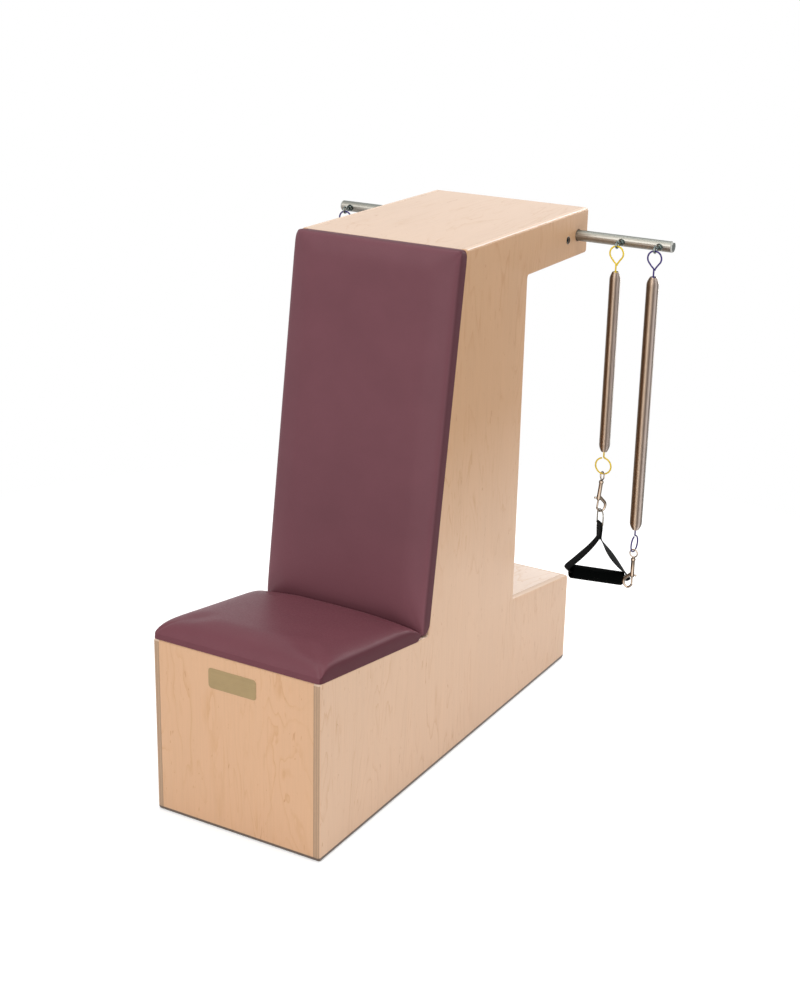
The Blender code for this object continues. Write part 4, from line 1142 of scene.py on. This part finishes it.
def hook_size(share):
    return HOOK_WIRE + (HOOK_ROOT - HOOK_WIRE) * max(0.0, 1 - share / HOOK_TAPER)


def snap_body_mesh():
    """Barrel with a collar at its top and bottom, its hook, and the hollow for the post and the bolt."""
    neck = SNAP_POST_RADIUS + GAP
    bore = BOLT_RADIUS + GAP
    barrel = turned([(BARREL_RADIUS + out, level) for out, level in SNAP_WALL], "Z", 32)
    hook = wire(hook_path(), hook_size, 18)
    hollow_core = turned([
        (neck + 0.0005, -BARREL_TOP + GAP), (neck, -BARREL_TOP - 0.0006), (neck, -COLLAR),
        (CHAMBER_RADIUS, -COLLAR), (CHAMBER_RADIUS, -CHAMBER), (neck, -CHAMBER - 0.002),
        (bore, -CHAMBER - 0.004), (bore, -TIP_DEPTH)], "Z", 28)
    slot = box((-2 * BARREL_RADIUS, -KNOB_RADIUS - GAP, -KNOB_DEPTH - KNOB_RADIUS - GAP),
               (0, KNOB_RADIUS + GAP, -KNOB_DEPTH + KNOB_RADIUS + BOLT_TRAVEL + GAP))
    return combine(combine(barrel, [hook], "UNION"), [hollow_core, slot], "DIFFERENCE")


def snap_bolt_mesh():
    tip = KNOB_DEPTH - TIP_DEPTH
    pin = turned([(BOLT_RADIUS - 0.0004, tip), (BOLT_RADIUS, tip + 0.0004), (BOLT_RADIUS, BOLT_TRAVEL)],
                 "Z", 24)
    form = [(radius, shift - KNOB_REACH) for radius, shift in KNOB_FORM]
    knob = turned(form + [(KNOB_RADIUS, 0)], "X", 20)
    return combine(pin, [knob], "UNION")


def snap(side, label, tip, across_hook):
    """Bolt snap: its eye, its barrel with the hook, and its sliding bolt."""
    pin = moved(snap_bolt_mesh(), (0, 0, -KNOB_DEPTH))
    for name, mesh, body, node in (("_snap_ring", snap_eye_mesh(across_hook), "_eye", "_snap_eye"),
                                   ("_snap_case", snap_body_mesh(), "_hook", "_snap_body"),
                                   ("_snap_pin", pin, "_bolt", "_snap_bolt")):
        piece(label + name, mesh, NICKEL, label + body, tip, side, [label + node], "nickel")


def spring(side, label, inner):
    """A spring with its eyebolt, loops and bolt snap; the inner one carries a handle."""
    if inner:
        x, length, radius, pitch = INNER_X, INNER_COIL_LENGTH, INNER_COIL_RADIUS, INNER_COIL_PITCH
        coat, slot = YELLOW, "yellow_wire"
    else:
        x, length, radius, pitch = OUTER_X, OUTER_COIL_LENGTH, OUTER_COIL_RADIUS, OUTER_COIL_PITCH
        coat, slot = PURPLE, "purple_wire"
    bar = place_at((x, BAR_Y - MIDDLE_Y, BAR_Z), (EYE_DIP, 0, 0))
    piece(label + "_eye", eyebolt_mesh(), ZINC, "case", bar, side, [label + "_eyebolt"], "zinc", 30)
    start = BAR_RADIUS + GAP
    bore = rod(SHANK_RADIUS + GAP, 0, 0.05, "Y", 20)
    nut = combine(nut_mesh(start, start + NUT_HEIGHT), [bore], "DIFFERENCE")
    piece(label + "_back_nut", nut, ZINC, "case", bar, side, [label + "_eyebolt_nut"], "zinc", 30)

    hang = Vector((x, BAR_Y - MIDDLE_Y - EYE_REACH * cos(EYE_DIP),
                   BAR_Z - EYE_REACH * sin(EYE_DIP) - EYE_RADIUS + EYE_WIRE + WIRE + GAP))
    hanger, foot_body = label + "_hanger", label + "_foot"
    piece(label + "_upper_wire", loop_mesh(TOP_LOOP_RADIUS, TOP_LOOP_NECK, radius), coat, hanger,
          place_at(hang), side, [label + "_top_loop"], slot)
    top = hang - Vector((0, 0, TOP_LOOP_NECK + STEM))
    end = top - Vector((0, 0, length))
    wound = piece(label + "_winding", coil_mesh(length, radius, pitch), COIL, None,
                  place_at((side * top.x, top.y, top.z)), 1, [label + "_coil"], "coil_steel", 80)
    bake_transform(wound)

    foot = end - Vector((0, 0, STEM + LOW_LOOP_NECK))
    flip = Matrix.Rotation(pi, 4, "Y")
    if not inner:
        flip = Matrix.Rotation(pi / 2, 4, "Z") @ flip
    piece(label + "_lower_wire", loop_mesh(LOW_LOOP_RADIUS, LOW_LOOP_NECK, radius), coat, foot_body,
          place_at(foot) @ flip, side, [label + "_low_loop"], slot)
    lean, turn = (SNAP_LEAN, HANDLE_TURN) if inner else (0.0, pi)
    tip = place_at(foot, (0, lean, turn))
    snap(side, label, tip, inner)
    if inner:
        handle(side, label, tip)


# Handles

# Share of the width across the webbing, and share of half its thickness
WEBBING_SECTION = (
    (0.5, 0.55), (0.46, 1.0), (0.16, 1.0), (-0.16, 1.0), (-0.46, 1.0), (-0.5, 0.55),
    (-0.5, -0.55), (-0.46, -1.0), (-0.16, -1.0), (0.16, -1.0), (0.46, -1.0), (0.5, -0.55),
)
NECK_LAYERS = (-1.15, 0.0, 1.15)
STITCH_ROWS = (-0.0085, -0.0135, -0.0265)
STITCHES = 7
STITCH_MARGIN = 0.0022
STITCH_HALF = Vector((0.00022, 0.0009, 0.0003))
BORE_CHAMFER = 0.0006


def ring_mesh():
    """D ring with a straight bar at its foot, for the strap."""
    top = HOOK_WIRE + RING_WIRE + GAP
    bow = RING_WIDTH / 2
    low = top - RING_HEIGHT
    corners = [(-bow, low), (bow, low), (bow, top), (-bow, top)]
    points = outline(corners, [RING_CORNER, RING_CORNER, bow - 0.0005, bow - 0.0005], steps=10)
    return flat_wire([Vector((0, y, z)) for y, z in points], RING_WIRE, RIGHT, 12)


def grip_point(along, out=0.0):
    axis = Vector((cos(GRIP_TILT), 0, -sin(GRIP_TILT)))
    up = Vector((sin(GRIP_TILT), 0, cos(GRIP_TILT)))
    return Vector((0, 0, -GRIP_DROP)) + axis * along + up * out


def ribbon(path, width_at, closed=False, twist_at=None):
    """Flat webbing with rounded edges along a path in the plane of X and Z."""
    rings = []
    lengths = [0.0]
    last = len(path) - 1
    for i, point in enumerate(path):
        before = path[i - 1] if closed or i else path[0]
        after = path[(i + 1) % len(path)] if closed or i < last else path[last]
        ahead = (after - before).normalized()
        twist = twist_at(point) if twist_at else 0.0
        flat = Vector((-ahead.z, 0, ahead.x))
        out = flat * cos(twist) + Vector((0, sin(twist), 0))
        across = Vector((0, cos(twist), 0)) - flat * sin(twist)
        width = width_at(point)
        half = STRAP_THICKNESS / 2
        rings.append([point + out * half * b + across * a * width for a, b in WEBBING_SECTION])
        if i < last:
            lengths.append(lengths[-1] + (path[i + 1] - point).length)
    lengths.append(lengths[-1] + 0.002)

    def uv(step, side):
        place = WEBBING_SECTION[side % len(WEBBING_SECTION)][0]
        return (place * STRAP_WIDTH * 1000, lengths[step] * 1000)

    return skin(rings, closed, uv=uv)


def strap_leg(end):
    half = GRIP_LENGTH / 2
    foot = Vector((end * STRAP_THICKNESS, 0, -STRAP_NECK))
    turn = grip_point(end * (half + STRAP_REACH), STRAP_RISE)
    inward = (foot - turn).cross(Vector((0, end, 0))).normalized() * LEG_SAG
    return [
        foot,
        foot.lerp(turn, 0.12) + inward * 0.6,
        foot.lerp(turn, 0.35) + inward,
        foot.lerp(turn, 0.70) + inward * 0.6,
        turn,
        grip_point(end * (half + STRAP_REACH * 0.7), STRAP_RISE * 0.1),
        grip_point(end * (half + STRAP_REACH * 0.15)),
        grip_point(end * half * 0.8),
        grip_point(end * half * 0.3),
    ]


def strap_width(point):
    inside = 2 * sqrt((GRIP_BORE - GAP) ** 2 - STRAP_THICKNESS ** 2 / 4)
    place = point - grip_point(0)
    along = place.dot(grip_point(1) - grip_point(0))
    if place.length ** 2 - along ** 2 > GRIP_RADIUS ** 2:
        spread = clamped((-point.z - STRAP_NECK) / (STRAP_WIDTH * 1.5))
        return WAIST_WIDTH + (STRAP_WIDTH - WAIST_WIDTH) * spread
    share = clamped((abs(along) - GRIP_LENGTH / 2) / (STRAP_REACH * 0.5) - 0.4)
    return inside + (STRAP_WIDTH - inside) * share


def leg_twist(point):
    """One leg turns its face to the front between the neck and the grip."""
    drop = -strap_leg(1)[4].z - STRAP_NECK
    share = clamped((-point.z - STRAP_NECK) / drop)
    return LEG_TWIST * sin(pi * share) if point.x > 0 else 0.0


def neck_width(point):
    """The neck is gathered from the ring's width to a narrower waist."""
    share = clamped(-point.z / STRAP_NECK)
    return NECK_WIDTH + (WAIST_WIDTH - NECK_WIDTH) * share ** 2


def strap_mesh():
    """Legs and neck in layers of webbing, and a loop round the ring."""
    legs = ribbon(smooth_path(strap_leg(-1) + strap_leg(1)[::-1], 8), strap_width, twist_at=leg_twist)
    eye = RING_WIRE + GAP + STRAP_THICKNESS / 2
    wrap = circle(Vector((0, 0, 0)), eye, UP, RIGHT, 28)
    small = ribbon(wrap, lambda point: NECK_WIDTH, closed=True)
    layers = []
    low = -STRAP_NECK - STRAP_THICKNESS * 2
    for offset in NECK_LAYERS:
        x = offset * STRAP_THICKNESS
        path = [Vector((x * (0.75 + 0.25 * t), 0, -eye + (low + eye) * t)) for t in (0, 0.25, 0.5, 0.75, 1)]
        layers.append(ribbon(path, neck_width))
    return join([legs, small] + layers)


def stitches(name, body, place, side):
    """Rows of thread across the neck of the strap."""
    parts = []
    face = STRAP_THICKNESS * 1.72
    for z in STITCH_ROWS:
        half = neck_width(Vector((0, 0, z))) / 2 - STITCH_MARGIN
        for k in range(STITCHES):
            for out in (-1, 1):
                middle = Vector((out * face, -half + 2 * half * k / (STITCHES - 1), z))
                parts.append(box(middle - STITCH_HALF, middle + STITCH_HALF))
    piece(name, join(parts), THREAD, body, place, side, (), "webbing")


def grip_mesh():
    """Foam tube about X with rounded ends."""
    half = GRIP_LENGTH / 2
    rim = [(GRIP_RADIUS - sunk, half - inset) for inset, sunk in quarter(GRIP_EDGE, 6)]
    profile = [(GRIP_BORE, -half + BORE_CHAMFER), (GRIP_BORE + BORE_CHAMFER, -half)]
    profile += [(radius, -along) for radius, along in rim]
    profile += rim[::-1]
    profile += [(GRIP_BORE + BORE_CHAMFER, half), (GRIP_BORE, half - BORE_CHAMFER)]
    return hollow(profile, "X", 48)


def handle(side, label, tip):
    ring_place = tip @ place_at((REST_OUT, 0, -HOOK_LOW), (0, -SNAP_LEAN, 0))
    piece(label + "_d_ring", ring_mesh(), RING_METAL, label + "_ring", ring_place, side,
          [label + "_handle_ring"], "nickel")
    bar = HOOK_WIRE + RING_WIRE + GAP - RING_HEIGHT
    strap_place = ring_place @ place_at((0, 0, bar))
    piece(label + "_webbing", strap_mesh(), STRAP, label + "_strap", strap_place, side,
          [label + "_handle_strap"], "webbing", 50)
    stitches(label + "_stitching", label + "_strap", strap_place, side)
    grip_place = strap_place @ place_at((0, 0, -GRIP_DROP), (0, GRIP_TILT, 0))
    piece(label + "_foam", grip_mesh(), FOAM, label + "_grip", grip_place, side,
          [label + "_handle_grip"], "foam")


# Stage, light and camera

FLOOR_SIZE = 30
FLOOR_TONE = (0.86, 0.86, 0.86)
FLOOR_GLOW = 0.42
WHITE_FROM = 0.9
WHITE_BY = 1.7
WORLD_LEVEL = 0.46
# Place, aim, size and power
LAMPS = {
    "key": ((-1.2, -3.2, 3.4), (0.0, -0.1, 0.5), 2.4, 46),
    "overhead": ((0.3, 0.2, 4.0), (0.0, 0.0, 0.8), 2.6, 64),
    "front": ((0.5, -3.0, 1.0), (0.0, -0.1, 0.4), 1.6, 16),
    "side": ((2.0, -0.3, 0.30), (0.2, 0.0, 0.2), 0.9, 5),
    "rear": ((0.45, 2.0, 1.2), (0.15, 0.4, 0.28), 0.8, 16),
}
CAMERA_PLACE = (1.5948, -2.2117 - MIDDLE_Y, 1.6368)
CAMERA_TURN = radians(29.84)
CAMERA_RISE = radians(19.83)
CAMERA_ROLL = radians(1.22)
SENSOR_WIDTH = 36.0
PICTURE_HEIGHT = 993
FOCAL_PIXELS = 1714.8


def seen_directly(nodes, links):
    """One where a ray comes straight from the camera or by a reflection or refraction, else zero."""
    path = nodes.new("ShaderNodeLightPath")
    value = path.outputs["Is Camera Ray"]
    for name in ("Is Glossy Ray", "Is Transmission Ray"):
        larger = nodes.new("ShaderNodeMath")
        larger.operation = "MAXIMUM"
        links.new(value, larger.inputs[0])
        links.new(path.outputs[name], larger.inputs[1])
        value = larger.outputs[0]
    return value


def floor():
    """White paper that keeps the shadow near the chair and turns plain white further off."""
    shape = bmesh.new()
    bmesh.ops.create_grid(shape, x_segments=1, y_segments=1, size=FLOOR_SIZE)
    paper = added("floor", as_mesh(shape, "floor"))
    made = Shader("floor_paper", roughness=0.9, Specular_IOR_Level=0.0)
    made.colour(FLOOR_TONE)
    seen = seen_directly(made.tree.nodes, made.tree.links)
    glow = made.node("Emission")
    made.link(made.math("MULTIPLY", seen, FLOOR_GLOW), glow.inputs["Strength"])
    near = made.node("AddShader")
    made.link(made.shader.outputs[0], near.inputs[0])
    made.link(glow.outputs[0], near.inputs[1])
    where = made.node("TexCoord")
    distance = made.node("VectorMath", operation="LENGTH")
    made.link(where.outputs["Object"], distance.inputs[0])
    tenths = made.math("MULTIPLY", distance.outputs["Value"], 0.1)
    far_share = made.ramp(tenths, (WHITE_FROM / 10, 0.0), (WHITE_BY / 10, 1.0))
    white = made.node("Emission")
    both = made.node("MixShader")
    made.link(made.math("MULTIPLY", far_share, seen), both.inputs[0])
    made.link(near.outputs[0], both.inputs[1])
    made.link(white.outputs[0], both.inputs[2])
    made.link(both.outputs[0], made.tree.nodes["Material Output"].inputs["Surface"])
    paper.data.materials.append(made.material)
    paper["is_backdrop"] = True


def surroundings():
    """Even light all round, which the camera and reflections see as white."""
    world = bpy.data.worlds.new("studio")
    bpy.context.scene.world = world
    world.use_nodes = True
    nodes, links = world.node_tree.nodes, world.node_tree.links
    level = nodes.new("ShaderNodeMapRange")
    level.inputs["To Min"].default_value = WORLD_LEVEL
    level.inputs["To Max"].default_value = 1.0
    links.new(seen_directly(nodes, links), level.inputs["Value"])
    background = nodes["Background"]
    background.inputs["Color"].default_value = (1, 1, 1, 1)
    links.new(level.outputs["Result"], background.inputs["Strength"])


def lamp(name, place, aim, size, power):
    data = bpy.data.lights.new(name, "AREA")
    data.size = size
    data.energy = power
    data.shape = "SQUARE"
    made = added(name, data)
    made.location = place
    made.rotation_euler = (Vector(aim) - Vector(place)).to_track_quat("-Z", "Y").to_euler()


def camera():
    """The photograph's view, fitted to the straight edges of the case."""
    level_share = cos(CAMERA_RISE)
    ahead = Vector((-sin(CAMERA_TURN) * level_share, cos(CAMERA_TURN) * level_share,
                    -sin(CAMERA_RISE)))
    level = ahead.cross(UP).normalized()
    right = cos(CAMERA_ROLL) * level + sin(CAMERA_ROLL) * level.cross(ahead)
    up = right.cross(ahead)
    data = bpy.data.cameras.new("camera")
    data.sensor_width = SENSOR_WIDTH
    data.lens = FOCAL_PIXELS * SENSOR_WIDTH / PICTURE_HEIGHT
    data.clip_start = 0.05
    made = added("camera", data)
    place = Matrix((right, up, -ahead)).transposed().to_4x4()
    place.translation = Vector(CAMERA_PLACE)
    made.matrix_world = place
    bpy.context.scene.camera = made


def boxes():
    def plain(values):
        return [[float(number) for number in corner] for corner in values]

    '{"cad": %s, "visual": %s}' % (plain(cad_box), plain(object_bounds()))


case()
plate()
screw_rings()
upholstery()
for word, side in SIDES:
    spring(side, word + "_inner", True)
    spring(side, word + "_outer", False)
floor()
surroundings()
for name, (place, aim, size, power) in LAMPS.items():
    lamp(name, place, aim, size, power)
camera()
bpy.context.scene.view_settings.view_transform = "Standard"
boxes()
